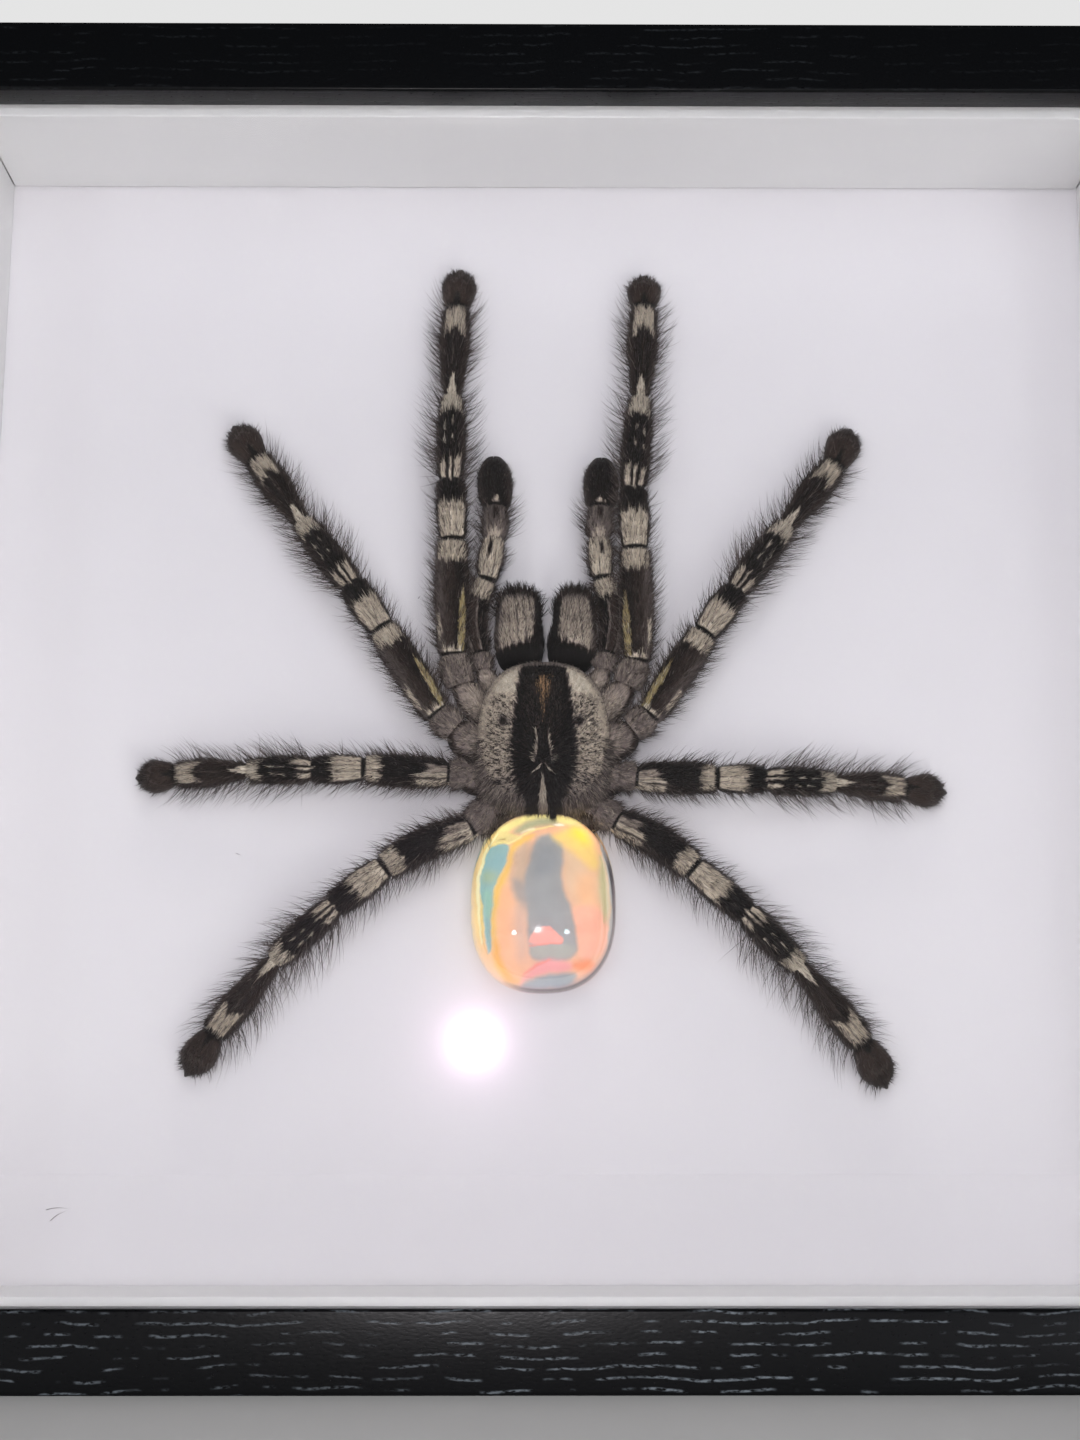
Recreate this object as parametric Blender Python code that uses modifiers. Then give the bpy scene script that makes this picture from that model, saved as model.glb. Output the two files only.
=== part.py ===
"""Framed tarantula: a deep box frame with a spread spider and a glass abdomen on its board.

The frame stands upright on its bottom rail and faces -Y, with +Z up. Its origin is the
middle of the footprint at the lowest point. Lengths are written in millimetres and turned
to metres by MM. A bearing is an angle in the plane of the board, in degrees clockwise
from straight up, and a height is measured off the face of the board towards the glass.
"""
import math
from typing import NamedTuple

import bmesh
import bpy
from mathutils import Matrix, Vector

MM = 0.001
GAP = 0.3                       # clearance between pieces that touch

# Frame
FRAME_SIDE = 250.0              # outer width and height
FRAME_DEPTH = 45.0
RAIL_FACE = 14.0                # width of the rail seen from the front
RAIL_WALL = 10.0                # width of the rail behind its lip
LIP_DEPTH = 6.5                 # thickness of the lip in front of the glass
SIDE_TURN = {"right": 0, "bottom": 90, "left": 180, "top": 270}

# Layers from front to back
GLASS_THICKNESS = 1.2
LINER_REVEAL = 1.4              # how far the liner shows inside the lip
LINER_DEPTH = 30.0
BOARD_THICKNESS = 1.0
PANEL_THICKNESS = 2.5

# Bendable points that hold the back in
POINT_SIZE = (14.0, 0.5, 10.0)  # length, thickness and width of a point
POINT_BITE = 5.0                # how far a point is driven into the rail
POINT_FROM_MIDDLE = 60.0

# Sawtooth hanger
HANGER_LENGTH = 45.0
HANGER_HEIGHT = 8.0
HANGER_SHEET = 0.8
HANGER_RISE = 1.2               # how far the toothed middle stands off the wood
HANGER_FLAT = 21.0              # length of the raised middle
HANGER_BEND = 2.5               # length of the sloped stretch at each bend
TOOTH_PITCH = 2.25
TOOTH_DEPTH = 1.6
TOOTH_COUNT = 8
NOTCH_OVERRUN = 1.0             # how far the notches' cutter runs out below the plate
NOTCH_REACH = 3.0               # and how far it runs out in front and behind
NAIL_FROM_MIDDLE = 18.0
NAIL_SHANK = (0.6, 8.0)         # radius and length
NAIL_POINT = 1.2                # length of the tapered tip
NAIL_HEAD = (1.7, 0.6)          # radius and thickness
NAIL_CROWN = (1.35, 0.3)        # radius where the head's rounding starts, and its depth

# Fineness of the meshes
WELD = 0.000001                 # in metres
NAIL_SIDES = 12
CARAPACE_MESH = (28, 14)        # columns and rows of a rounded body
CHELICERA_MESH = (14, 8)
COXA_MESH = (10, 8)
ABDOMEN_MESH = (32, 16)
LIMB_RESOLUTION = 2             # a limb is a tube of eight sides

# Places that follow from the sizes above
HALF_SIDE = FRAME_SIDE / 2
LIP_EDGE = HALF_SIDE - RAIL_FACE
REBATE_EDGE = HALF_SIDE - RAIL_WALL
GLASS_AT = LIP_DEPTH + GAP
LINER_AT = GLASS_AT + GLASS_THICKNESS + GAP
BOARD_AT = LINER_AT + LINER_DEPTH + GAP
PANEL_AT = BOARD_AT + BOARD_THICKNESS + GAP
POINT_AT = PANEL_AT + PANEL_THICKNESS + GAP
HANGER_AT = FRAME_DEPTH + GAP
FULL_DEPTH = HANGER_AT + HANGER_RISE + HANGER_SHEET
FRONT_Y = -FULL_DEPTH / 2
BOARD_FACE_Y = FRONT_Y + BOARD_AT

# Spider
BODY_X = -0.7                   # the spider sits a little left of the middle
CARAPACE_Z = 114.8              # height of the carapace's widest line
COXA_HEIGHT = 6.4
COXA_CLEARANCE = 0.6            # between a coxa's tip and its leg
ABDOMEN_Z = 84.9


class Egg(NamedTuple):
    """A rounded body whose outline is a superellipse, longer at one end than the other."""
    half_width: float
    front: float
    rear: float
    up: float
    down: float
    power: float


CARAPACE = Egg(half_width=12.8, front=17.5, rear=11.4, up=6.0, down=4.4, power=2.6)
CHELICERA = Egg(half_width=4.3, front=6.6, rear=6.7, up=4.0, down=4.2, power=2.7)
ABDOMEN = Egg(half_width=13.9, front=18.6, rear=15.5, up=8.6, down=2.8, power=2.4)

CARAPACE_HEIGHT = 6.6
CHELICERA_PLACE = (5.3, 139.5, 8.2)     # off the frame's middle, up the board, height
CHELICERA_TURN = 3.0                    # how far each one points outwards
ABDOMEN_HEIGHT = 3.5


class Coxa(NamedTuple):
    """The first joint of a limb, an oval grown on the body: both its ends and its radius."""
    inner: tuple
    root: tuple
    radius: float


COXAE = {
    "pedipalp": Coxa(inner=(8.0, 124.5), root=(11.8, 131.0), radius=2.1),
    "leg_1": Coxa(inner=(8.5, 119.5), root=(16.0, 127.8), radius=3.0),
    "leg_2": Coxa(inner=(8.5, 116.5), root=(16.9, 119.2), radius=3.0),
    "leg_3": Coxa(inner=(8.0, 112.0), root=(14.7, 110.3), radius=2.9),
    "leg_4": Coxa(inner=(6.0, 109.0), root=(10.9, 103.8), radius=2.8),
}

# Radius along each joint of a leg: how far along it, and how thick it is there
JOINT_SHAPES = {
    "trochanter": ((0.0, 2.7), (0.45, 3.1), (0.9, 2.7)),
    "femur": ((0.06, 2.5), (0.3, 2.8), (0.65, 2.9), (0.95, 2.5)),
    "patella": ((0.08, 2.3), (0.5, 2.7), (0.92, 2.4)),
    "tibia": ((0.06, 2.3), (0.35, 2.7), (0.7, 2.5), (0.95, 1.9)),
    "metatarsus": ((0.05, 1.6), (0.3, 1.9), (0.65, 2.5), (0.95, 2.4)),
    "tarsus": ((0.06, 2.2), (0.35, 3.0), (0.7, 3.0), (0.9, 2.2), (1.0, 0.9)),
}
LEG_JOINTS = ("trochanter", "femur", "patella", "tibia", "metatarsus", "tarsus")
LEG_HEIGHTS = (6.4, 7.0, 9.0, 8.5, 6.5, 4.2, 3.4)
PALP_JOINTS = ("trochanter", "femur", "patella", "tibia", "tarsus")
PALP_HEIGHTS = (5.6, 5.7, 7.5, 7.5, 6.2, 4.4)


class Limb(NamedTuple):
    """A leg or palp: its girth, the bow of its femur and each joint's length and bearing.

    A positive bow swings the middle of the femur to the left of the way the limb runs.
    """
    coxa: str
    side: str
    girth: float
    bow: float
    joints: tuple


LIMBS = (
    Limb("leg_1", "left", 1.0, 0.0,
         ((6.2, -16), (22.5, 0), (12.5, -2), (18.0, 0), (19.5, 2), (8.5, 6))),
    Limb("leg_1", "right", 1.0, 0.0,
         ((5.3, 25), (22.0, -1), (12.5, -1), (19.5, 5), (20.0, 3), (7.0, 1))),
    Limb("leg_2", "left", 1.0, 0.0,
         ((4.7, -50), (19.5, -33), (11.0, -35), (16.5, -37), (16.5, -35), (8.5, -35))),
    Limb("leg_2", "right", 1.0, 0.0,
         ((4.5, 53), (19.0, 34), (11.0, 36), (17.0, 37), (16.5, 38), (8.5, 24))),
    Limb("leg_3", "left", 0.93, 0.0,
         ((3.5, -87), (16.0, -88), (10.0, -91), (12.5, -89), (14.0, -92), (7.5, -93))),
    Limb("leg_3", "right", 0.93, 0.0,
         ((3.4, 100), (15.0, 92), (9.5, 91), (13.5, 91), (13.5, 93), (8.0, 94))),
    Limb("leg_4", "left", 0.97, -0.8,
         ((4.8, -142), (18.0, -116), (12.0, -128), (15.0, -132), (17.5, -140), (9.0, -146))),
    Limb("leg_4", "right", 0.97, 0.8,
         ((4.1, 129), (17.0, 123), (13.0, 130), (14.0, 135), (18.5, 140), (9.0, 152))),
    Limb("pedipalp", "left", 0.74, 1.0,
         ((3.5, -6), (14.3, 5), (8.5, 9), (6.5, 3), (10.5, -3))),
    Limb("pedipalp", "right", 0.74, -1.0,
         ((3.5, -2), (14.7, -4), (8.0, -4), (6.5, 4), (10.3, 2))),
)
PALP_TARSUS_GIRTH = 1.38        # a palp's last joint is a club as thick as a leg's


# ---------------------------------------------------------------- scene and helpers

def clear_scene():
    for old in list(bpy.data.objects):
        bpy.data.objects.remove(old, do_unlink=True)


def new_collection(name):
    collection = bpy.data.collections.new(name)
    bpy.context.scene.collection.children.link(collection)
    return collection


def linear(channel):
    return channel / 12.92 if channel <= 0.04045 else ((channel + 0.055) / 1.055) ** 2.4


def material(name, colour, roughness, metallic=0.0, transmission=0.0, ior=1.5):
    """A Principled finish from an sRGB hex colour."""
    finish = bpy.data.materials.new(name)
    finish.use_nodes = True
    shader = finish.node_tree.nodes["Principled BSDF"]
    channels = [linear(int(colour[i:i + 2], 16) / 255) for i in (1, 3, 5)]
    shader.inputs["Base Color"].default_value = (*channels, 1.0)
    shader.inputs["Roughness"].default_value = roughness
    shader.inputs["Metallic"].default_value = metallic
    shader.inputs["Transmission Weight"].default_value = transmission
    shader.inputs["IOR"].default_value = ior
    return finish


def add_mesh(name, mesh, collection, finish=None):
    piece = bpy.data.objects.new(name, mesh)
    collection.objects.link(piece)
    if finish:
        mesh.materials.clear()
        mesh.materials.append(finish)
    return piece


def box(name, size, centre, collection, finish=None):
    """A block of the given size and centre, in millimetres."""
    shape = bmesh.new()
    bmesh.ops.create_cube(shape, size=1.0)
    bmesh.ops.scale(shape, vec=Vector(size) * MM, verts=shape.verts)
    mesh = bpy.data.meshes.new(name)
    shape.to_mesh(mesh)
    shape.free()
    piece = add_mesh(name, mesh, collection, finish)
    piece.location = Vector(centre) * MM
    return piece


def prism(name, outline, half_height):
    """A flat outline with a thickness, as a welded mesh centred on its own XY plane."""
    curve = bpy.data.curves.new(name, "CURVE")
    curve.dimensions = "2D"
    curve.fill_mode = "BOTH"
    curve.extrude = half_height * MM
    spline = curve.splines.new("POLY")
    spline.points.add(len(outline) - 1)
    for point, (x, y) in zip(spline.points, outline):
        point.co = (x * MM, y * MM, 0.0, 1.0)
    spline.use_cyclic_u = True
    guide = bpy.data.objects.new(name, curve)
    bpy.context.scene.collection.objects.link(guide)
    depsgraph = bpy.context.evaluated_depsgraph_get()
    mesh = bpy.data.meshes.new_from_object(guide.evaluated_get(depsgraph))
    bpy.data.objects.remove(guide, do_unlink=True)
    bpy.data.curves.remove(curve)
    shape = bmesh.new()
    shape.from_mesh(mesh)
    bmesh.ops.remove_doubles(shape, verts=shape.verts, dist=WELD)
    bmesh.ops.recalc_face_normals(shape, faces=shape.faces)
    shape.to_mesh(mesh)
    shape.free()
    mesh.name = name
    return mesh


def as_cutter(piece):
    piece.hide_render = True
    piece.display_type = "WIRE"
    return piece


def boolean(piece, operation, other=None, group=None):
    """A Boolean modifier with one object or a whole collection as its operand."""
    change = piece.modifiers.new(operation.title(), "BOOLEAN")
    change.operation = operation
    change.solver = "EXACT"
    if group:
        change.operand_type = "COLLECTION"
        change.collection = group
    else:
        change.object = other


# ---------------------------------------------------------------- frame

def mitred_bar(name, outline):
    """A bar along Z with this section, whose ends are sawn at 45 degrees towards +X."""
    mesh = prism(name, outline, HALF_SIDE)
    shape = bmesh.new()
    shape.from_mesh(mesh)
    setback = Vector((GAP / math.sqrt(2) * MM, 0, 0))
    for end in (1, -1):
        everything = shape.verts[:] + shape.edges[:] + shape.faces[:]
        bmesh.ops.bisect_plane(shape, geom=everything, plane_co=setback,
                               plane_no=(-1, 0, end), clear_outer=True)
        open_edges = [edge for edge in shape.edges if edge.is_boundary]
        bmesh.ops.holes_fill(shape, edges=open_edges, sides=0)
    bmesh.ops.recalc_face_normals(shape, faces=shape.faces)
    shape.to_mesh(mesh)
    shape.free()
    return mesh


def place_on_side(piece, side):
    """Local +X points out of the frame on this side, and local Y runs from front to back."""
    piece.location = (0, FRONT_Y * MM, HALF_SIDE * MM)
    piece.rotation_euler = (0, math.radians(SIDE_TURN[side]), 0)


def point_centre(along):
    reach = REBATE_EDGE + POINT_BITE - POINT_SIZE[0] / 2
    return (reach, POINT_AT + POINT_SIZE[1] / 2, along)


def put_on_side(piece, side):
    """Carries a piece that was laid out in a rail's own axes to that rail's place."""
    turn = Matrix.Rotation(math.radians(SIDE_TURN[side]), 4, "Y")
    shift = Matrix.Translation((0, FRONT_Y * MM, HALF_SIDE * MM))
    piece.matrix_world = shift @ turn @ Matrix.Translation(piece.location)


def build_rails(parts, cutters):
    outline = ((LIP_EDGE, 0), (HALF_SIDE, 0), (HALF_SIDE, FRAME_DEPTH),
               (REBATE_EDGE, FRAME_DEPTH), (REBATE_EDGE, LIP_DEPTH), (LIP_EDGE, LIP_DEPTH))
    shared = mitred_bar("rail", outline)
    shared.materials.append(material("black_stained_wood", "#15181A", 0.45))
    slot_size = [length + 2 * GAP for length in POINT_SIZE]
    rails = {}
    for side in SIDE_TURN:
        rail = add_mesh("rail_" + side, shared, parts)
        place_on_side(rail, side)
        for along in (-POINT_FROM_MIDDLE, POINT_FROM_MIDDLE):
            name = "point_slot_%s_%s" % (side, "a" if along < 0 else "b")
            slot = as_cutter(box(name, slot_size, point_centre(along), cutters))
            put_on_side(slot, side)
            boolean(rail, "DIFFERENCE", slot)
        rails[side] = rail
    return rails


def build_liner(parts):
    inner = LIP_EDGE - LINER_REVEAL
    outer = REBATE_EDGE - GAP
    back = LINER_AT + LINER_DEPTH
    outline = ((inner, LINER_AT), (outer, LINER_AT), (outer, back), (inner, back))
    shared = mitred_bar("liner", outline)
    shared.materials.append(material("white_liner_board", "#D2D1CF", 0.6))
    for side in SIDE_TURN:
        place_on_side(add_mesh("liner_" + side, shared, parts), side)


def build_sheets(parts):
    """The pane, the mount board and the back panel, which all fill the rebate."""
    width = 2 * (REBATE_EDGE - GAP)
    sheets = (
        ("glazing_pane", GLASS_AT, GLASS_THICKNESS,
         material("clear_glass", "#FFFFFF", 0.02, transmission=1.0)),
        ("mount_board", BOARD_AT, BOARD_THICKNESS, material("white_mount_board", "#E6E6EA", 0.8)),
        ("back_panel", PANEL_AT, PANEL_THICKNESS, material("brown_hardboard", "#6E4E34", 0.75)),
    )
    for name, at, thickness, finish in sheets:
        middle = (0, FRONT_Y + at + thickness / 2, HALF_SIDE)
        box(name, (width, thickness, width), middle, parts, finish)


def build_points(parts):
    finish = material("zinc_plated_steel", "#9A9C9E", 0.4, metallic=1.0)
    number = 0
    for side in SIDE_TURN:
        for along in (-POINT_FROM_MIDDLE, POINT_FROM_MIDDLE):
            number += 1
            name = "glazier_point_%d" % number
            put_on_side(box(name, POINT_SIZE, point_centre(along), parts, finish), side)


# ---------------------------------------------------------------- hanger

def hanger_outline():
    """The bent strip seen from above: flat ends, two bends and a raised middle."""
    end = HANGER_LENGTH / 2
    top = HANGER_FLAT / 2
    foot = top + HANGER_BEND
    low = [(-end, 0), (-foot, 0), (-top, HANGER_RISE), (top, HANGER_RISE), (foot, 0), (end, 0)]
    high = [(x, y + HANGER_SHEET) for x, y in reversed(low)]
    return low + high


def tooth_outline():
    """A row of notches that opens downwards."""
    start = -TOOTH_PITCH * TOOTH_COUNT / 2
    row = [(start, -NOTCH_OVERRUN)]
    for tooth in range(TOOTH_COUNT):
        left = start + tooth * TOOTH_PITCH
        row += [(left, 0.0), (left + TOOTH_PITCH / 2, TOOTH_DEPTH)]
    return row + [(-start, 0.0), (-start, -NOTCH_OVERRUN)]


def nail_mesh():
    """A round nail turned about Z, with its head at the top and its tip below zero."""
    shank, length = NAIL_SHANK
    head, thickness = NAIL_HEAD
    crown, crown_depth = NAIL_CROWN
    profile = ((0, thickness), (crown, thickness), (head, thickness - crown_depth), (head, 0),
               (shank, 0), (shank, NAIL_POINT - length), (0, -length))
    mesh = bpy.data.meshes.new("nail")
    points = [(x * MM, 0, z * MM) for x, z in profile]
    mesh.from_pydata(points, [(i, i + 1) for i in range(len(points) - 1)], [])
    return mesh


def build_hanger(parts, cutters, top_rail):
    steel = material("brass_plated_steel", "#B79A5B", 0.35, metallic=1.0)
    centre_z = FRAME_SIDE - RAIL_WALL / 2
    plate = add_mesh("sawtooth_hanger", prism("hanger", hanger_outline(), HANGER_HEIGHT / 2),
                     parts, steel)
    plate.location = Vector((0, FRONT_Y + HANGER_AT, centre_z)) * MM
    teeth = add_mesh("tooth_notches", prism("tooth_notches", tooth_outline(), NOTCH_REACH),
                     cutters)
    teeth.rotation_euler = (math.radians(90), 0, 0)
    teeth.location = Vector((0, FRONT_Y + HANGER_AT, centre_z - HANGER_HEIGHT / 2)) * MM
    boolean(plate, "DIFFERENCE", as_cutter(teeth))
    head_y = FRONT_Y + HANGER_AT + HANGER_SHEET + GAP
    for side, x in (("left", -NAIL_FROM_MIDDLE), ("right", NAIL_FROM_MIDDLE)):
        nail = add_mesh("hanger_nail_" + side, nail_mesh(), parts, steel)
        nail.location = Vector((x, head_y, centre_z)) * MM
        nail.rotation_euler = (math.radians(-90), 0, 0)
        turn = nail.modifiers.new("Turn", "SCREW")
        turn.steps = turn.render_steps = NAIL_SIDES
        turn.use_merge_vertices = True
        turn.merge_threshold = WELD
        hole = drill("nail_hole_" + side, NAIL_SHANK[0] + GAP, 2 * NAIL_SHANK[1] + 2 * GAP,
                     nail.location, cutters)
        boolean(plate, "DIFFERENCE", hole)
        boolean(top_rail, "DIFFERENCE", hole)


def drill(name, radius, length, centre, cutters):
    """A round cutter along Y."""
    shape = bmesh.new()
    bmesh.ops.create_cone(shape, cap_ends=True, segments=NAIL_SIDES, radius1=radius * MM,
                          radius2=radius * MM, depth=length * MM)
    mesh = bpy.data.meshes.new(name)
    shape.to_mesh(mesh)
    shape.free()
    piece = add_mesh(name, mesh, cutters)
    piece.location = centre
    piece.rotation_euler = (math.radians(90), 0, 0)
    return as_cutter(piece)


# ---------------------------------------------------------------- spider

def on_board(x, z, height):
    """A point given across and up the board and by its height off it, in metres."""
    return Vector((x, BOARD_FACE_Y - height, z)) * MM


def egg_mesh(name, egg, fineness):
    """A unit sphere reshaped: its outline is the superellipse |x/a|^p + |y/b|^p = 1."""
    columns, rows = fineness
    shape = bmesh.new()
    bmesh.ops.create_uvsphere(shape, u_segments=columns, v_segments=rows, radius=1.0)
    for vertex in shape.verts:
        x, y, z = vertex.co
        around = math.hypot(x, y)
        if around > WELD:
            length = egg.front if y > 0 else egg.rear
            spread = (abs(x / around / egg.half_width) ** egg.power
                      + abs(y / around / length) ** egg.power) ** (-1 / egg.power)
            vertex.co.x = x * spread * MM
            vertex.co.y = y * spread * MM
        vertex.co.z = z * (egg.up if z > 0 else egg.down) * MM
    mesh = bpy.data.meshes.new(name)
    shape.to_mesh(mesh)
    shape.free()
    mesh.shade_smooth()
    return mesh


def lay_on_board(piece, x, z, height, bearing=0.0):
    """Turns local +Z towards the glass and local +Y along the bearing."""
    piece.location = on_board(x, z, height)
    piece.rotation_euler = (math.radians(90), math.radians(bearing), 0)


def coxa_oval(limb_name, coxa, sign, collection):
    """An oval from inside the body to just short of the limb's root."""
    start = Vector((coxa.inner[0] * sign, coxa.inner[1]))
    root = Vector((coxa.root[0] * sign, coxa.root[1]))
    along = root - start
    length = along.length - COXA_CLEARANCE
    middle = start + along.normalized() * length / 2
    oval = Egg(coxa.radius, length / 2, length / 2, coxa.radius, coxa.radius, 2.0)
    side = "left" if sign < 0 else "right"
    piece = add_mesh("coxa_%s_%s" % (limb_name, side), egg_mesh("coxa", oval, COXA_MESH),
                     collection)
    bearing = math.degrees(math.atan2(along.x, along.y))
    lay_on_board(piece, BODY_X + middle.x, middle.y, COXA_HEIGHT, bearing)
    return as_cutter(piece)


def build_cephalothorax(parts, cutters):
    coxae = bpy.data.collections.new("grown_coxae")
    cutters.children.link(coxae)
    for limb_name, coxa in COXAE.items():
        for sign in (-1, 1):
            coxa_oval(limb_name, coxa, sign, coxae)
    body = add_mesh("cephalothorax", egg_mesh("carapace", CARAPACE, CARAPACE_MESH), parts,
                    material("tan_and_black_carapace", "#6B6152", 0.7))
    lay_on_board(body, BODY_X, CARAPACE_Z, CARAPACE_HEIGHT)
    boolean(body, "UNION", group=coxae)


def build_chelicerae(parts):
    finish = material("grey_brown_fur", "#8C7C6B", 0.85)
    sideways, z, height = CHELICERA_PLACE
    for side, sign in (("left", -1), ("right", 1)):
        jaw = add_mesh("chelicera_" + side, egg_mesh("jaw", CHELICERA, CHELICERA_MESH), parts,
                       finish)
        lay_on_board(jaw, sideways * sign, z, height, CHELICERA_TURN * sign)


def step_along(length, bearing):
    angle = math.radians(bearing)
    return Vector((math.sin(angle), math.cos(angle))) * length


def limb_rings(limb):
    """The centre and radius of every ring of a limb, from its root to its tip."""
    palp = limb.coxa == "pedipalp"
    kinds = PALP_JOINTS if palp else LEG_JOINTS
    heights = PALP_HEIGHTS if palp else LEG_HEIGHTS
    sign = -1 if limb.side == "left" else 1
    root = COXAE[limb.coxa].root
    start = Vector((BODY_X + root[0] * sign, root[1]))
    rings = []
    for index, (kind, joint) in enumerate(zip(kinds, limb.joints)):
        step = step_along(*joint)
        leftwards = Vector((-step.y, step.x)).normalized()
        for share, radius in JOINT_SHAPES[kind]:
            centre = start + step * share
            if kind == "femur":
                centre += leftwards * limb.bow * math.sin(math.pi * share)
            height = heights[index] + (heights[index + 1] - heights[index]) * share
            girth = limb.girth * (PALP_TARSUS_GIRTH if palp and kind == "tarsus" else 1)
            rings.append((on_board(centre.x, centre.y, height), radius * girth))
        start = start + step
    return rings


def build_limb(limb, parts, finish):
    """A tube along the limb's rings, whose radius follows each of them."""
    name = "%s_%s" % (limb.coxa, limb.side)
    curve = bpy.data.curves.new(name, "CURVE")
    curve.dimensions = "3D"
    curve.bevel_depth = MM          # each point's own radius multiplies it
    curve.bevel_resolution = LIMB_RESOLUTION
    curve.use_fill_caps = True
    rings = limb_rings(limb)
    spline = curve.splines.new("POLY")
    spline.points.add(len(rings) - 1)
    for point, (centre, radius) in zip(spline.points, rings):
        point.co = (*centre, 1.0)
        point.radius = radius
    curve.materials.append(finish)
    piece = bpy.data.objects.new(name, curve)
    parts.objects.link(piece)


def build_limbs(parts):
    finish = material("banded_black_and_cream", "#3A322B", 0.8)
    for limb in LIMBS:
        build_limb(limb, parts, finish)


def build_abdomen(parts):
    stone = add_mesh("glass_abdomen", egg_mesh("cabochon", ABDOMEN, ABDOMEN_MESH), parts,
                     material("iridescent_glass", "#FFD9A6", 0.04, transmission=0.8))
    lay_on_board(stone, BODY_X, ABDOMEN_Z, ABDOMEN_HEIGHT)


def main():
    clear_scene()
    parts = new_collection("framed_tarantula")
    cutters = new_collection("cutters")
    rails = build_rails(parts, cutters)
    build_liner(parts)
    build_sheets(parts)
    build_points(parts)
    build_hanger(parts, cutters, rails["top"])
    build_cephalothorax(parts, cutters)
    build_chelicerae(parts)
    build_limbs(parts)
    build_abdomen(parts)


main()
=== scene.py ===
"""Looks of a framed tarantula: a black box frame, a white lined box and a furry, banded spider
whose abdomen is an iridescent glass cabochon.

The model is set out in millimetres and becomes metres when a mesh is made. A point on the
board is (across, up, height off the board), and a bearing is an angle in the board's plane,
clockwise from straight up.
"""

import math
from functools import partial
from typing import NamedTuple

import bpy
import numpy as np
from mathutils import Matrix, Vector


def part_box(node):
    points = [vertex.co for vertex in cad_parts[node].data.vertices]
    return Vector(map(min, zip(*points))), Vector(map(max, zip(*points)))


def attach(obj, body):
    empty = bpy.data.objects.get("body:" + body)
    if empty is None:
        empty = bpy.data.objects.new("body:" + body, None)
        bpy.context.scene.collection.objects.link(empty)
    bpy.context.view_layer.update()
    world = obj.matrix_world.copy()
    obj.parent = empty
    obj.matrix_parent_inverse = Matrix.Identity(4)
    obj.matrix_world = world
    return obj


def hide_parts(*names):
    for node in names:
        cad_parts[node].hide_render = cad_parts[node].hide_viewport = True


bl_info = {
    "name": "Framed Tarantula",
    "version": (1, 0, 0),
    "blender": (4, 5, 0),
    "location": "View3D > Sidebar > Framed Tarantula",
    "description": "Builds the finish of a tarantula in a deep box frame",
    "category": "Add Mesh",
}

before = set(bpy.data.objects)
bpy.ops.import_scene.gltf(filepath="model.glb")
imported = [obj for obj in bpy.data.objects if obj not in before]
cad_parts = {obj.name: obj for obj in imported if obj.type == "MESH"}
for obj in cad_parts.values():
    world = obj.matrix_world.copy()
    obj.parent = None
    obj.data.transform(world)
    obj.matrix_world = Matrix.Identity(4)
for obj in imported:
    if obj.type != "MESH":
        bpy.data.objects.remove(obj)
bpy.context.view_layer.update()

MM = 0.001
BODY = "root"
RNG_SEED = 11


def span(node, axis):
    """A CAD node's lowest and highest coordinate along an axis, in millimetres."""
    low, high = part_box(node)
    return low[axis] / MM, high[axis] / MM


# ---------------- sizes from the frame
LIP_EDGE, HALF_SIDE = span("rail_right", 0)
MIDDLE_Z = HALF_SIDE
FRONT_Y, RAIL_BACK_Y = span("rail_top", 1)
GLASS_FRONT_Y, _ = span("glazing_pane", 1)
LINER_FRONT_Y, LINER_BACK_Y = span("liner_top", 1)
LINER_INNER, LINER_OUTER = span("liner_right", 0)
BOARD_FACE_Y, _ = span("mount_board", 1)
REBATE_EDGE = span("back_panel", 0)[1] + 0.3
LIP_BACK_Y = GLASS_FRONT_Y - 0.3
MITRE_SETBACK = 0.212
LINER_EDGE_RADIUS = 0.35
SHARP_ANGLE = math.radians(40)
GRAIN_SHIFT = 1000.0            # how far apart the four sides' grain lies on its map
# Painted glints: light painted into each rail's pores, brightest on the bottom, faintest on top
PORE_GLINTS = {"right": 0.3, "bottom": 0.75, "left": 0.3, "top": 0.05}
SIDES = {"right": 0, "bottom": 90, "left": 180, "top": 270}

BODY_X = -0.7
CARAPACE_Z = 114.8


# ---------------- colour
def linear(code):
    """An sRGB hex colour as linear red, green and blue."""
    shares = np.array([int(code[i:i + 2], 16) for i in (1, 3, 5)]) / 255
    return np.where(shares <= 0.04045, shares / 12.92, ((shares + 0.055) / 1.055) ** 2.4)


def rgba(colour):
    return (*tuple(colour)[:3], 1.0)


# The coat's tones in order of place on the ramp: a hair or a patch of skin has one number.
# Black, brown-black, dark brown, grey-brown, tan, cream, pale cream, straw yellow and rust
COAT = ((0.00, "#0D0A09"), (0.15, "#1E1714"), (0.30, "#3B2F29"), (0.45, "#6F6461"),
        (0.60, "#A2958A"), (0.75, "#CEC1AD"), (0.88, "#E8E0CF"), (0.94, "#A8996B"),
        (1.00, "#C29A72"))
BLACK, SOOT, BROWN, GREY, TAN, CREAM, PALE, STRAW, RUST = (place for place, _ in COAT)


def coat_colour(tone):
    """Linear colours for an array of tones, read off the ramp."""
    codes = np.array([linear(code) for _, code in COAT])
    places = [place for place, _ in COAT]
    return np.stack([np.interp(tone, places, codes[:, i]) for i in range(3)], axis=-1)


# ---------------- user's settings
def colour_setting(name, code, words):
    return bpy.props.FloatVectorProperty(name=name, description=words, subtype="COLOR", size=3,
                                         min=0, max=1, default=tuple(linear(code)))


def number_setting(name, default, words, least=0.0, **more):
    return bpy.props.FloatProperty(name=name, description=words, default=default, min=least,
                                   **more)


def length_setting(name, default, words, least):
    return number_setting(name, default, words, least, subtype="DISTANCE", unit="LENGTH")


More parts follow.
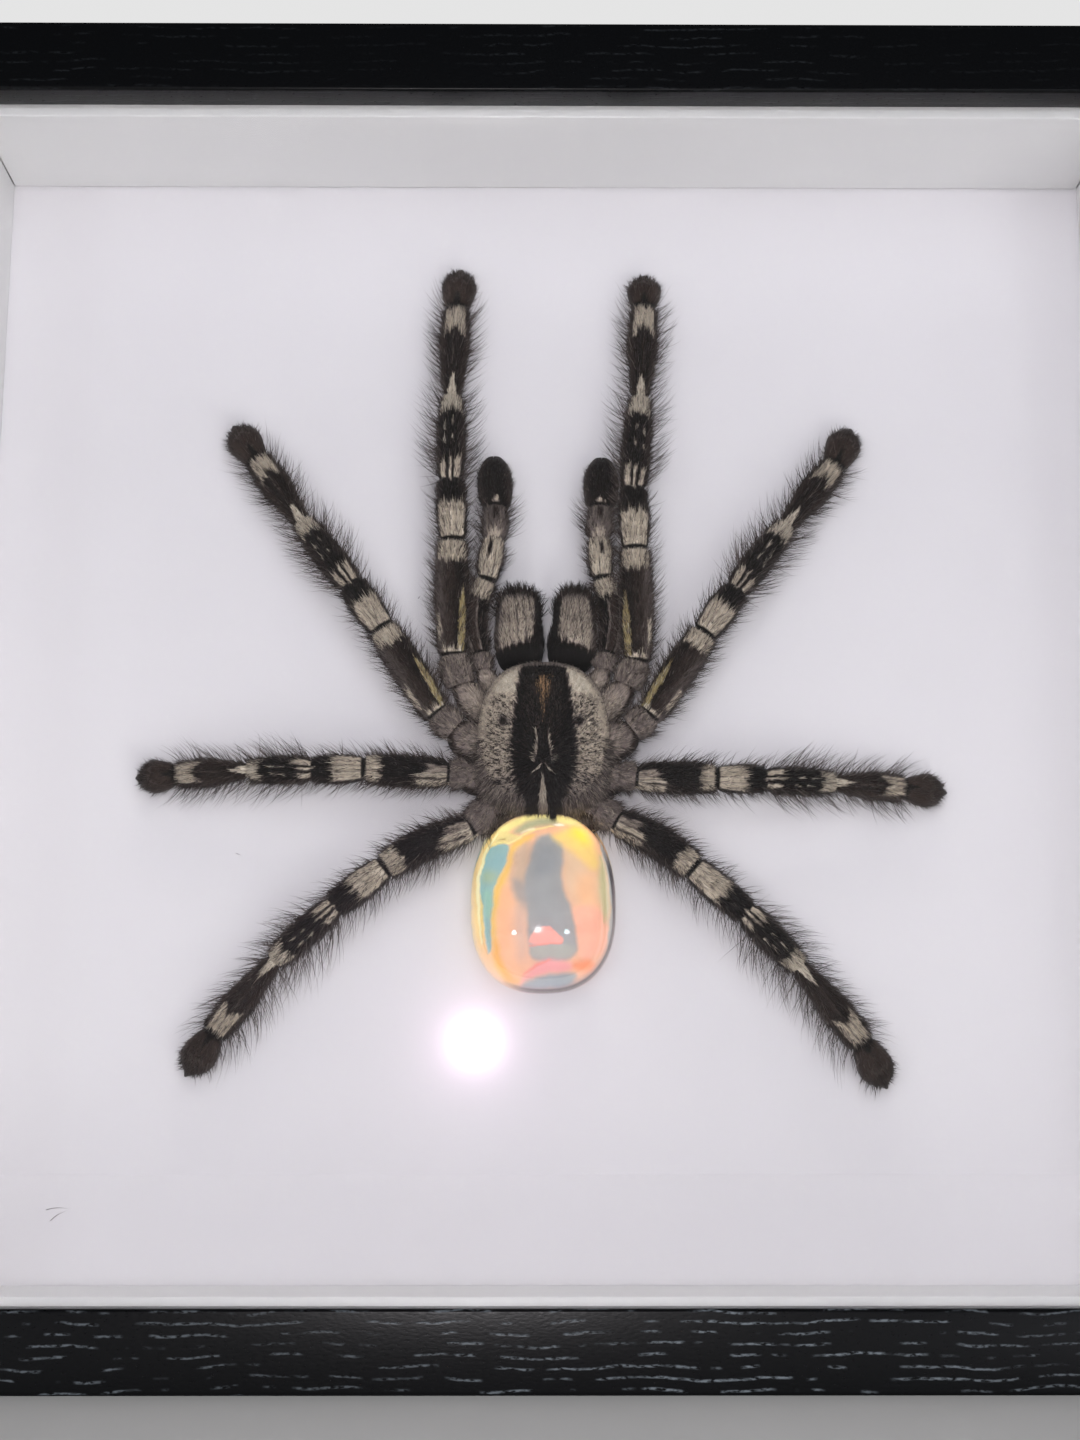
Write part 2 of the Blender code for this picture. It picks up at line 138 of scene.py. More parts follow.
class FrameSettings(bpy.types.PropertyGroup):
    """Sizes and colours of the frame."""
    stain: colour_setting("Stain", "#07080A", "Colour of the stained wood")
    pore: colour_setting("Pore", "#7D858C", "Colour of the light caught in the open pores")
    pore_length: length_setting("Pore Length", 0.011, "Length of a pore along the grain", 0.001)
    pore_spacing: length_setting("Pore Spacing", 0.0018,
                                 "Distance between pores across the grain", 0.0005)
    edge_radius: length_setting("Edge Radius", 0.0007, "Rounding of the rails' edges", 0.0001)
    liner: colour_setting("Liner", "#EEEEED", "Colour of the liner")
    board: colour_setting("Board", "#EBE9EC", "Colour of the mount board")
    hardboard: colour_setting("Hardboard", "#6B4A30", "Colour of the back panel")


class SpiderSettings(bpy.types.PropertyGroup):
    """How thick the spider's fur is."""
    nap_density: number_setting("Nap Density", 4.4,
                                "Short hairs on each square millimetre of a limb", 0.1)
    nap_length: length_setting("Nap Length", 0.0017, "Length of the short hairs", 0.0002)
    nap_width: length_setting("Nap Width", 0.00014, "Width of a short hair at its root", 0.00002)
    fringe_density: number_setting("Fringe Density", 23.0,
                                   "Long hairs on each millimetre of a limb", 0.1)
    fringe_width: length_setting("Fringe Width", 0.00012, "Width of a long hair at its root",
                                 0.00002)


class StoneSettings(bpy.types.PropertyGroup):
    """The glass cabochon."""
    ior: number_setting("IOR", 1.5, "Refraction of the glass", 1.0, max=2.5)
    film: number_setting("Film", 380.0, "Thickness of the iridescent coat in nanometres",
                         max=1000.0)


class StageSettings(bpy.types.PropertyGroup):
    """Floor, lamps and camera."""
    floor: colour_setting("Floor", "#DCDBDA", "Colour of the floor")
    lens: number_setting("Lens", 51.9, "Focal length", 1.0, unit="CAMERA")
    flash: number_setting("Flash", 0.33, "Power of the lamp beside the camera", unit="POWER")
    soft: number_setting("Soft Lamps", 1.5, "Power of each soft lamp", unit="POWER")


# ---------------- helpers: shapes
class Egg(NamedTuple):
    """Half width, length to the front and the rear, rise, drop, and the outline's power."""
    half_width: float
    front: float
    rear: float
    up: float
    down: float
    power: float


def xyz(*parts):
    """Coordinates side by side as one array of points; single numbers are spread out."""
    return np.stack(np.broadcast_arrays(*parts), -1)


def split(points):
    """The coordinates of an array of points, one array each."""
    return np.moveaxis(points, -1, 0)


def unit(vectors):
    return vectors / np.maximum(np.linalg.norm(vectors, axis=-1, keepdims=True), 1e-9)


def rise(value, start, width):
    """0 below start and 1 above start + width, with a smooth S between them."""
    share = np.clip((value - start) / width, 0, 1)
    return share * share * (3 - 2 * share)


def within(value, low, high, edge):
    """1 between low and high, falling to 0 over edge, which is centred on each limit."""
    return rise(value, low - edge / 2, edge) * (1 - rise(value, high - edge / 2, edge))


def bell(value, middle, width):
    """1 at the middle, falling on both sides as exp(-(distance / width)^2)."""
    return np.exp(-((value - middle) / width) ** 2)


def ripple(value, seed, octaves=4):
    """A smooth uneven wave between about -1 and 1: sines of rising pitch and falling height."""
    total = np.zeros_like(np.asarray(value, float))
    for octave in range(octaves):
        total += (np.sin(value * 1.93 ** octave + seed * (octave + 1.7) * 2.1)
                  * 0.6 / 1.35 ** octave)
    return total / 1.5


def spread(turn, shape):
    """Distance from an egg's middle to its outline |x/a|^p + |y/b|^p = 1 at an angle from x,
    with b the front or the rear length.
    """
    length = np.where(np.sin(turn) > 0, shape.front, shape.rear)
    return (np.abs(np.cos(turn) / shape.half_width) ** shape.power
            + np.abs(np.sin(turn) / length) ** shape.power) ** (-1 / shape.power)


def egg(shape, rows, columns):
    """A rounded body about its own middle, from pole to pole: x across, y forwards, z up. The
    upright section is an ellipse with the given rise and drop.
    """
    down_angle = np.linspace(0, math.pi, rows)[1:-1, None]
    turn = np.linspace(0, 2 * math.pi, columns, endpoint=False)[None]
    flat = np.sin(down_angle) * spread(turn, shape)
    lift = np.cos(down_angle) * np.where(np.cos(down_angle) > 0, shape.up, shape.down)
    return xyz(flat * np.cos(turn), flat * np.sin(turn), lift)


def rho(x, y, shape):
    """0 at an egg's middle and 1 on its outline."""
    length = np.where(y > 0, shape.front, shape.rear)
    return (np.abs(x / shape.half_width) ** shape.power
            + np.abs(y / length) ** shape.power) ** (1 / shape.power)


def egg_top(x, y, shape, fullness=2.0):
    """Height and upward normal over an egg's plan: (z / up)^n + rho^n = 1, n the fullness."""
    away = np.clip(rho(x, y, shape), 0.02, 0.998)
    length = np.where(y > 0, shape.front, shape.rear)
    slope = away ** (1 - shape.power)
    across = np.abs(x / shape.half_width) ** (shape.power - 1) * np.sign(x) / shape.half_width
    ahead = np.abs(y / length) ** (shape.power - 1) * np.sign(y) / length
    z = shape.up * (1 - away ** fullness) ** (1 / fullness)
    steep = away ** (fullness - 1)
    return z, unit(xyz(steep * across * slope, steep * ahead * slope,
                       (z / shape.up) ** (fullness - 1) / shape.up))


def egg_scatter(shape, count, rng):
    """Random places spread evenly over an egg's plan."""
    turn, far = rng.uniform(0, 2 * math.pi, count), np.sqrt(rng.random(count)) * 0.995
    reach = spread(turn, shape)
    return far * reach * np.cos(turn), far * reach * np.sin(turn)


def on_board(points, across, up, height, bearing=0.0):
    """Local x across, y along the bearing and z off the board become frame coordinates."""
    cos, sin = math.cos(math.radians(bearing)), math.sin(math.radians(bearing))
    x, y, z = split(points)
    return xyz(across + x * cos + y * sin, BOARD_FACE_Y - height - z, up - x * sin + y * cos)


def to_frame(ways, bearing=0.0):
    """Turns local directions into the frame's, without moving them."""
    return on_board(ways, 0, 0, BOARD_FACE_Y, bearing)


def to_side(x, y, x0, y0, x1, y1):
    """Where along a straight side the nearest point to (x, y) lies, and how far off it is."""
    run, climb = x1 - x0, y1 - y0
    share = np.clip(((x - x0) * run + (y - y0) * climb) / (run ** 2 + climb ** 2), 0, 1)
    return share, np.hypot(x - x0 - share * run, y - y0 - share * climb)


def stroke(x, y, path, soft):
    """1 on a line whose path is (x, y, width) points and 0 off it, with soft edges."""
    most = np.zeros_like(x)
    for (x0, y0, thick), (x1, y1, thick_end) in zip(path[:-1], path[1:]):
        share, gap = to_side(x, y, x0, y0, x1, y1)
        half = (thick + (thick_end - thick) * share) / 2
        most = np.maximum(most, 1 - rise(gap - half, -soft / 2, soft))
    return most


def patch(x, y, outline, soft):
    """1 inside a closed outline and 0 outside, with a soft edge. The outline's corners are cut
    twice at a quarter of each side. The sign comes from the crossings to the right of a point.
    """
    ring = np.array(outline, float)
    for _ in range(2):
        after = np.roll(ring, -1, axis=0)
        cuts = [ring * 0.75 + after * 0.25, ring * 0.25 + after * 0.75]
        ring = np.stack(cuts, 1).reshape(-1, 2)
    least, inside = np.full(x.shape, 1e9), np.zeros(x.shape, bool)
    for (x0, y0), (x1, y1) in zip(ring, np.roll(ring, -1, axis=0)):
        least = np.minimum(least, to_side(x, y, x0, y0, x1, y1)[1])
        if y0 != y1:
            inside ^= ((y0 > y) != (y1 > y)) & (x < (x1 - x0) * (y - y0) / (y1 - y0) + x0)
    return rise(np.where(inside, least, -least), -soft / 2, soft)


# ---------------- helpers: meshes
def put_mesh(name, points, corners, sizes, finish):
    """An object from whole arrays: points in millimetres, corner indices and face sizes."""
    mesh = bpy.data.meshes.new(name)
    mesh.vertices.add(len(points))
    mesh.vertices.foreach_set("co", (np.asarray(points, float) * MM).astype(np.float32).ravel())
    mesh.loops.add(len(corners))
    mesh.loops.foreach_set("vertex_index", np.asarray(corners, np.int32))
    mesh.polygons.add(len(sizes))
    starts = np.concatenate(([0], np.cumsum(sizes)[:-1]))
    mesh.polygons.foreach_set("loop_start", starts.astype(np.int32))
    mesh.update(calc_edges=True)
    mesh.validate()
    mesh.shade_smooth()
    mesh.materials.append(finish)
    piece = bpy.data.objects.new(name, mesh)
    bpy.context.scene.collection.objects.link(piece)
    return piece


def settle(piece, slot, *stands_for):
    """Fixes a piece to the frame and hides the CAD nodes it stands for. slot, the name of its
    finish, is not used.
    """
    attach(piece, BODY)
    if stands_for:
        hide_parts(*stands_for)
    return piece


def store_uv(mesh, name, corner_uv):
    layer = mesh.uv_layers.new(name=name)
    layer.data.foreach_set("uv", np.asarray(corner_uv, np.float32).ravel())


def woven(rows, columns):
    """The four-cornered faces between rings of points."""
    row, column = np.meshgrid(np.arange(rows - 1), np.arange(columns), indexing="ij")
    this, right = row * columns + column, row * columns + (column + 1) % columns
    return xyz(this, right, right + columns, this + columns).reshape(-1, 4)


def skin(name, grid, finish, slot, *nodes, coat=None, lay=None):
    """A closed surface from a grid of points, whose rows run along it and whose columns go
    round it. Each end closes in a fan about the middle of its last row. coat gives a colour
    to each point, and lay is the (along, around) place of each point for the streaks.
    """
    rows, columns = grid.shape[:2]
    points = np.concatenate([grid.reshape(-1, 3), grid[[0, -1]].mean(axis=1)])
    quads = np.roll(woven(rows, columns)[:, ::-1], 1, axis=1)
    around = np.arange(columns)
    after, end = (around + 1) % columns, (rows - 1) * columns
    low = xyz(rows * columns, around, after)
    high = xyz(rows * columns + 1, end + after, end + around)
    a, b, c = (points[quads[:, corner]] for corner in range(3))
    if np.einsum("ij,ij->i", a - points.mean(0), np.cross(b - a, c - a)).sum() < 0:
        quads, low, high = quads[:, ::-1], low[:, ::-1], high[:, ::-1]
    corners = np.concatenate([quads.ravel(), low.ravel(), high.ravel()])
    piece = put_mesh(name, points, corners, np.repeat([4, 3], [len(quads), 2 * columns]), finish)
    if coat is not None:
        colours = np.concatenate([coat.reshape(-1, 3), coat[[0, -1]].mean(axis=1)])
        layer = piece.data.color_attributes.new(name="coat", type="FLOAT_COLOR", domain="POINT")
        full = np.concatenate([colours, np.ones((len(colours), 1))], axis=1)
        layer.data.foreach_set("color", full.astype(np.float32).ravel())
    if lay is not None:
        corner_uv = np.concatenate([lay.reshape(-1, 2), lay[[0, -1]].mean(axis=1)])[corners]
        place = quads % columns
        wrapped = ((place == 0) & (np.ptp(place, axis=1, keepdims=True) > 1)).ravel()
        seam = lay[:, -1, 1] + (lay[:, 1, 1] - lay[:, 0, 1])
        corner_uv[:len(wrapped)][wrapped, 1] = seam[quads.ravel()[wrapped] // columns]
        store_uv(piece.data, "Lay", corner_uv * MM)
    return settle(piece, slot, *nodes)


HAIR_SIDES = 3
HAIR_UV_STEP = 0.006


def hairs(name, slot, finish, joints, roots, ways, bends, lengths, widths, tones):
    """Tapered hairs with three sides, all in one mesh.

    A hair's middle line is root + length * (way * t + bend * t^2), for t from 0 to 1. Its
    three corners stand a third of a turn apart and draw in to a point at the tip. The map
    holds the hair's tone across and t along it.
    """
    count = len(roots)
    share = (np.arange(joints) / joints)[None, :, None]
    ways = unit(ways)
    steady = np.where(np.abs(ways[:, :1]) < 0.8, [[1.0, 0, 0]], [[0, 0, 1.0]])
    aside = unit(np.cross(ways, steady))
    other = np.cross(ways, aside)
    middle = roots[:, None] + lengths[:, None, None] * (ways[:, None] * share
                                                        + bends[:, None] * share ** 2)
    turn = np.arange(HAIR_SIDES)[None, :, None] * 2 * math.pi / HAIR_SIDES
    spoke = np.cos(turn) * aside[:, None] + np.sin(turn) * other[:, None]
    half = (widths[:, None] / 2 * (1 - share[..., 0] ** 1.6))[:, :, None, None]
    rings = (middle[:, :, None] + half * spoke[:, None]).reshape(count, -1, 3)
    tips = (roots + lengths[:, None] * (ways + bends))[:, None]
    points = np.concatenate([rings, tips], axis=1)
    ring = np.arange(HAIR_SIDES)
    after = (ring + 1) % HAIR_SIDES
    faces = [np.array([[0, 2, 1]])]
    for low in range(0, (joints - 1) * HAIR_SIDES, HAIR_SIDES):
        high = low + HAIR_SIDES
        faces += [xyz(low + ring, low + after, high + after),
                  xyz(low + ring, high + after, high + ring)]
    tip = joints * HAIR_SIDES
    low = tip - HAIR_SIDES
    faces = np.concatenate(faces + [xyz(low + ring, low + after, tip)])
    corners = (faces[None] + (np.arange(count) * (tip + 1))[:, None, None]).ravel()
    piece = put_mesh(name, points.reshape(-1, 3), corners, np.full(count * len(faces), 3), finish)
    local = faces.ravel()
    along = np.where(local == tip, 1.0, (local // HAIR_SIDES) / joints)
    across = np.where(local == tip, 1, local % HAIR_SIDES) * HAIR_UV_STEP
    tone = np.clip(tones, 0, 1) * (1 - 2 * HAIR_UV_STEP)
    store_uv(piece.data, "OFBake", xyz(tone[:, None] + across, along))
    return settle(piece, slot)


# ---------------- helpers: materials
def fill(made, inputs):
    """Fills or links a node's inputs by name or number. A node given as an input stands for
    its first output.
    """
    for socket, value in inputs.items():
        value = value.outputs[0] if isinstance(value, bpy.types.Node) else value
        if isinstance(value, bpy.types.NodeSocket):
            made.id_data.links.new(value, made.inputs[socket])
        else:
            made.inputs[socket].default_value = value


def node(tree, kind, inputs=None, stops=None, **settings):
    """Adds a node with its settings, its ramp's stops and its inputs."""
    made = tree.nodes.new(kind if kind.startswith("Compositor") else "ShaderNode" + kind)
    for key, value in settings.items():
        setattr(made, key, value)
    if stops:
        ramp = made.color_ramp.elements
        while len(ramp) < len(stops):
            ramp.new(0.5)
        for stop, (place, colour) in zip(ramp, stops):
            stop.position = place
            stop.color = rgba(colour)
    fill(made, inputs or {})
    return made


def new_finish(name, **sockets):
    """A material, the tool that adds nodes to it, and the one that fills or links its shader's
    sockets, which sets the constant ones here.
    """
    finish = bpy.data.materials.new(name)
    finish.use_nodes = True
    tree = finish.node_tree

    def feed(**inputs):
        fill(tree.nodes["Principled BSDF"],
             {socket.replace("_", " "): value for socket, value in inputs.items()})

    feed(**sockets)
    return finish, partial(node, tree), feed


def dimmed(colour, share):
    return rgba([float(part) * share for part in colour])


def stained_wood(settings, glint):
    """Black stained open-pored ash under a satin lacquer: nearly black, with rows of fine
    broken lines along the grain. The light they catch is painted into their colour as glints,
    and glint is how bright these painted glints are.
    """
    finish, add, feed = new_finish("stained_ash", Roughness=0.3, Specular_IOR_Level=0.2)
    lay = add("UVMap", uv_map="Lay")
    parts = add("SeparateXYZ", {0: lay})
    slow = add("TexNoise", {0: lay, "Scale": 45.0, "Detail": 3.0}, noise_dimensions="2D")
    aside = add("MapRange", {0: slow, 3: -0.0017, 4: 0.0017})
    across = add("Math", {0: parts.outputs[1], 1: aside}, operation="ADD")
    rows = add("Math", {0: across, 1: settings.pore_spacing}, operation="DIVIDE")
    number = add("Math", {0: rows}, operation="FLOOR")
    inside = add("Math", {0: rows}, operation="FRACT")
    centred = add("Math", {0: inside, 1: -0.5}, operation="ADD")
    off = add("Math", {0: centred}, operation="ABSOLUTE")
    line = add("MapRange", {0: off, 1: 0.04, 2: 0.16, 3: 1.0, 4: 0.0})
    along = add("Math", {0: parts, 1: settings.pore_length}, operation="DIVIDE")
    apart = add("Math", {0: number, 1: 5.3}, operation="MULTIPLY")
    row_place = add("CombineXYZ", {0: along, 1: apart})
    broken = add("TexNoise", {0: row_place, "Scale": 1.0, "Detail": 2.0, "Roughness": 0.6},
                 noise_dimensions="2D")
    dash = add("MapRange", {0: broken, 1: 0.48, 2: 0.56})
    grit_map = add("Mapping", {0: lay, "Scale": (900, 2200, 1)})
    grit = add("TexNoise", {0: grit_map, "Scale": 1.0, "Detail": 2.0}, noise_dimensions="2D")
    ragged = add("MapRange", {0: grit, 1: 0.36, 2: 0.6})
    lined = add("Math", {0: line, 1: dash}, operation="MULTIPLY")
    pore = add("Math", {0: lined, 1: ragged}, operation="MULTIPLY")
    # Painted light: the strength of the painted glints in the pores comes and goes in patches
    patches = add("TexNoise", {0: lay, "Scale": 14.0, "Detail": 1.0}, noise_dimensions="2D")
    strength = add("MapRange", {0: patches, 1: 0.35, 2: 0.65, 3: 0.3 * glint, 4: glint})
    painted_glint = add("Math", {0: pore, 1: strength}, operation="MULTIPLY")
    colour = add("Mix", {0: painted_glint, 6: rgba(settings.stain), 7: rgba(settings.pore)},
                 data_type="RGBA")
    height = add("Math", {0: pore, 1: -1.0, 2: grit}, operation="MULTIPLY_ADD")
    bump = add("Bump", {"Height": height, "Strength": 0.15, "Distance": 0.1 * MM})
    rough = add("MapRange", {0: grit, 3: 0.24, 4: 0.36})
    feed(Base_Color=colour.outputs[2], Roughness=rough, Normal=bump)
    return finish


def foil_liner(settings):
    """Wood-free board wrapped in white foil: smooth and white, with a soft sheen."""
    finish, add, feed = new_finish("white_liner_foil", Roughness=0.36)
    stretched = add("Mapping", {0: add("UVMap", uv_map="Lay"), "Scale": (300, 1400, 1)})
    fibres = add("TexNoise", {0: stretched, "Scale": 1.0, "Detail": 3.0}, noise_dimensions="2D")
    colour = add("Mix", {0: fibres, 6: dimmed(settings.liner, 0.94), 7: rgba(settings.liner)},
                 data_type="RGBA")
    bump = add("Bump", {"Height": fibres, "Strength": 0.12, "Distance": 0.1 * MM})
    feed(Base_Color=colour.outputs[2], Normal=bump)
    return finish


def card(name, colour, contrast, grain_mm, depth, roughness):
    """Pressed fibre such as card or hardboard: matt, with fine flecks of the fibre's size."""
    finish, add, feed = new_finish(name, Roughness=roughness, Specular_IOR_Level=0.3)
    place = add("TexCoord").outputs["Object"]
    flecks = add("TexNoise", {0: place, "Scale": 1000 / grain_mm, "Detail": 4.0,
                              "Roughness": 0.65})
    clouds = add("TexNoise", {0: place, "Scale": 22.0, "Detail": 2.0})
    both = add("Math", {0: flecks, 1: clouds}, operation="ADD")
    share = add("MapRange", {0: both, 1: 0.7, 2: 1.3})
    shaded = add("Mix", {0: share, 6: dimmed(colour, 1 - contrast), 7: rgba(colour)},
                 data_type="RGBA")
    bump = add("Bump", {"Height": flecks, "Strength": 0.25, "Distance": depth * MM})
    feed(Base_Color=shaded.outputs[2], Normal=bump)
    return finish


def plated_steel(name, code, roughness, scratch_mm):
    """Plated sheet steel: a metal with fine rolling marks and a few dull spots."""
    finish, add, feed = new_finish(name, Base_Color=rgba(linear(code)), Metallic=1.0,
                                   Roughness=roughness)
    fine = 1000 / scratch_mm
    drawn = add("Mapping", {0: add("TexCoord").outputs["Object"], "Scale": (60, fine, fine)})
    marks = add("TexNoise", {0: drawn, "Scale": 1.0, "Detail": 3.0})
    rough = add("MapRange", {0: marks, 3: roughness - 0.1, 4: roughness + 0.14})
    bump = add("Bump", {"Height": marks, "Strength": 0.2, "Distance": 0.05 * MM})
    feed(Roughness=rough, Normal=bump)
    return finish


def furred_skin(name, along_mm, across_mm, contrast):
    """Chitin under a short nap: the stored coat colour, broken by streaks that lie along the
    limb, rough, with a soft sheen.
    """
    finish, add, feed = new_finish(name, Roughness=0.7, Specular_IOR_Level=0.25,
                                   Sheen_Weight=0.08, Sheen_Roughness=0.5)
    coat = add("Attribute", attribute_name="coat").outputs["Color"]
    combed = add("Mapping", {0: add("UVMap", uv_map="Lay"),
                             "Scale": (1000 / along_mm, 1000 / across_mm, 1)})
    streaks = add("TexNoise", {0: combed, "Scale": 1.0, "Detail": 3.0, "Roughness": 0.6},
                  noise_dimensions="2D")
    light = add("MapRange", {0: streaks, 1: 0.3, 2: 0.7, 3: 1 - contrast, 4: 1 + contrast * 0.35})
    shaded = add("VectorMath", {0: coat, 3: light}, operation="SCALE")
    bump = add("Bump", {"Height": streaks, "Strength": 0.5, "Distance": 0.12 * MM})
    feed(Base_Color=shaded, Normal=bump)
    return finish


def fur(name, roughness=0.55, root_shade=0.7, tip_shade=1.15):
    """Hair: the tone's place on the coat ramp, with a satin gloss. Its colour is painted
    darker at the root and lighter at the tip, as painted shade among the hairs.
    """
    finish, add, feed = new_finish(name, Roughness=roughness, Specular_IOR_Level=0.35,
                                   Sheen_Weight=0.06)
    parts = add("SeparateXYZ", {0: add("UVMap", uv_map="OFBake")})
    stops = [(place * (1 - 2 * HAIR_UV_STEP) + HAIR_UV_STEP, linear(code)) for place, code in COAT]
    ramp = add("ValToRGB", {0: parts}, stops=stops)
    # Painted shade: darker towards the hair's root, lighter towards its tip
    light = add("MapRange", {0: parts.outputs[1], 3: root_shade, 4: tip_shade})
    feed(Base_Color=add("VectorMath", {0: ramp, 3: light}, operation="SCALE"))
    return finish


# ---------------- frame
def rounded(outline, radius, steps=5):
    """A closed outline whose corners are turned. Each is cut back by the radius along both
    sides, and a quadratic curve with the corner as its handle joins the cuts.
    """
    corners = np.array(outline, float)
    before = unit(np.roll(corners, 1, axis=0) - corners)
    after = unit(np.roll(corners, -1, axis=0) - corners)
    share = np.linspace(0, 1, steps)[None, :, None]
    start, end = (corners + before * radius)[:, None], (corners + after * radius)[:, None]
    middle = corners[:, None]
    arc = (1 - share) ** 2 * start + 2 * share * (1 - share) * middle + share ** 2 * end
    return arc.reshape(-1, 2)


def mitred_bar(name, outline, side, finish, slot, stands_for, rows=40):
    """A profile carried along one side of the frame. A row's point at distance q from the
    frame's middle runs from -(q - setback) to q - setback, so both ends are mitred.
    """
    count = len(outline)
    out, depth = split(outline)
    along = np.linspace(-1, 1, rows)[:, None] * (out - MITRE_SETBACK)[None]
    angle = math.radians(SIDES[side])
    points = xyz(out * math.cos(angle) + along * math.sin(angle), depth,
                 MIDDLE_Z - out * math.sin(angle) + along * math.cos(angle)).reshape(-1, 3)
    quads = woven(rows, count)
    column = np.tile(np.arange(count), rows - 1)
    column_uv = np.stack([column, column + 1, column + 1, column], -1)
    start, end = np.arange(count)[::-1], (rows - 1) * count + np.arange(count)
    if np.sum(out * np.roll(depth, -1) - np.roll(out, -1) * depth) < 0:
        quads, start, end, column_uv = quads[:, ::-1], start[::-1], end[::-1], column_uv[:, ::-1]
    corners = np.concatenate([quads.ravel(), start, end])
    piece = put_mesh(name, points, corners, np.repeat([4, count], [len(quads), 2]), finish)
    piece.data.set_sharp_from_angle(angle=SHARP_ANGLE)
    edge = np.linalg.norm(np.roll(outline, -1, axis=0) - outline, axis=1)
    around = np.concatenate([[0], np.cumsum(edge)])
    offset = GRAIN_SHIFT * (1 + list(SIDES).index(side))
    quad_uv = np.stack([along.ravel()[quads] + offset, around[column_uv]], -1)
    cap_uv = np.concatenate([outline[start], outline[end % count]]) + offset
    store_uv(piece.data, "Lay", np.concatenate([quad_uv.reshape(-1, 2), cap_uv]) * MM)
    return settle(piece, slot, stands_for)


def dressed(name, finish):
    """A CAD node that keeps its shape takes this finish."""
    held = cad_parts[name]
    held.data.materials.clear()
    held.data.materials.append(finish)
    return held


class FRAMED_OT_rails(bpy.types.Operator):
    """Lays four mitred rails with softened edges and open-pored black grain"""
    bl_idname = "framed.rails"
    bl_label = "Rails"

    def execute(self, context):
        settings = context.scene.framed_frame
        outline = ((LIP_EDGE, FRONT_Y), (HALF_SIDE, FRONT_Y), (HALF_SIDE, RAIL_BACK_Y),
                   (REBATE_EDGE, RAIL_BACK_Y), (REBATE_EDGE, LIP_BACK_Y), (LIP_EDGE, LIP_BACK_Y))
        profile = rounded(outline, settings.edge_radius / MM)
        for side in SIDES:
            finish = stained_wood(settings, PORE_GLINTS[side])
            mitred_bar("wood_rail_" + side, profile, side, finish, "black_stained_wood",
                       "rail_" + side)
        return {"FINISHED"}


class FRAMED_OT_liner(bpy.types.Operator):
    """Lays the four white liner strips that stand between the pane and the board"""
    bl_idname = "framed.liner"
    bl_label = "Liner"

    def execute(self, context):
        finish = foil_liner(context.scene.framed_frame)
        profile = rounded(((LINER_INNER, LINER_FRONT_Y), (LINER_OUTER, LINER_FRONT_Y),
                           (LINER_OUTER, LINER_BACK_Y), (LINER_INNER, LINER_BACK_Y)),
                          LINER_EDGE_RADIUS)
        for side in SIDES:
            mitred_bar("foil_liner_" + side, profile, side, finish, "white_liner_board",
                       "liner_" + side, rows=24)
        return {"FINISHED"}


class FRAMED_OT_sheets(bpy.types.Operator):
    """Finishes the pane, the mount board, the hardboard back and the metal fixings"""
    bl_idname = "framed.sheets"
    bl_label = "Pane, Board and Back"

    def execute(self, context):
        settings = context.scene.framed_frame
        # Float glass: clear and smooth, so it shows only reflections
        glass, *_ = new_finish("float_glass", Roughness=0.0, IOR=1.52, Transmission_Weight=1.0)
        pane = dressed("glazing_pane", glass)
        pane.visible_shadow = False
        dressed("mount_board", card("mount_card", settings.board, 0.03, 0.25, 0.05, 0.85))
        dressed("back_panel", card("hardboard", settings.hardboard, 0.35, 1.1, 0.12, 0.62))
        zinc = plated_steel("zinc_plate", "#9A9C9E", 0.4, 0.3)
        brass = plated_steel("brass_plate", "#B79A5B", 0.3, 0.2)
        for number in range(1, 9):
            dressed("glazier_point_%d" % number, zinc)
        for name in ("sawtooth_hanger", "hanger_nail_left", "hanger_nail_right"):
            dressed(name, brass)
        return {"FINISHED"}


# ---------------- spider: limbs
class Limb(NamedTuple):
    """A leg or palp: root on the board, girth, the femur's bow, and each joint's length and
    bearing. pair is 'front' or 'rear' for a leg's markings, and 'palp' for a palp's.
    """
    name: str
    side: str
    pair: str
    root: tuple
    girth: float
    bow: float
    joints: tuple


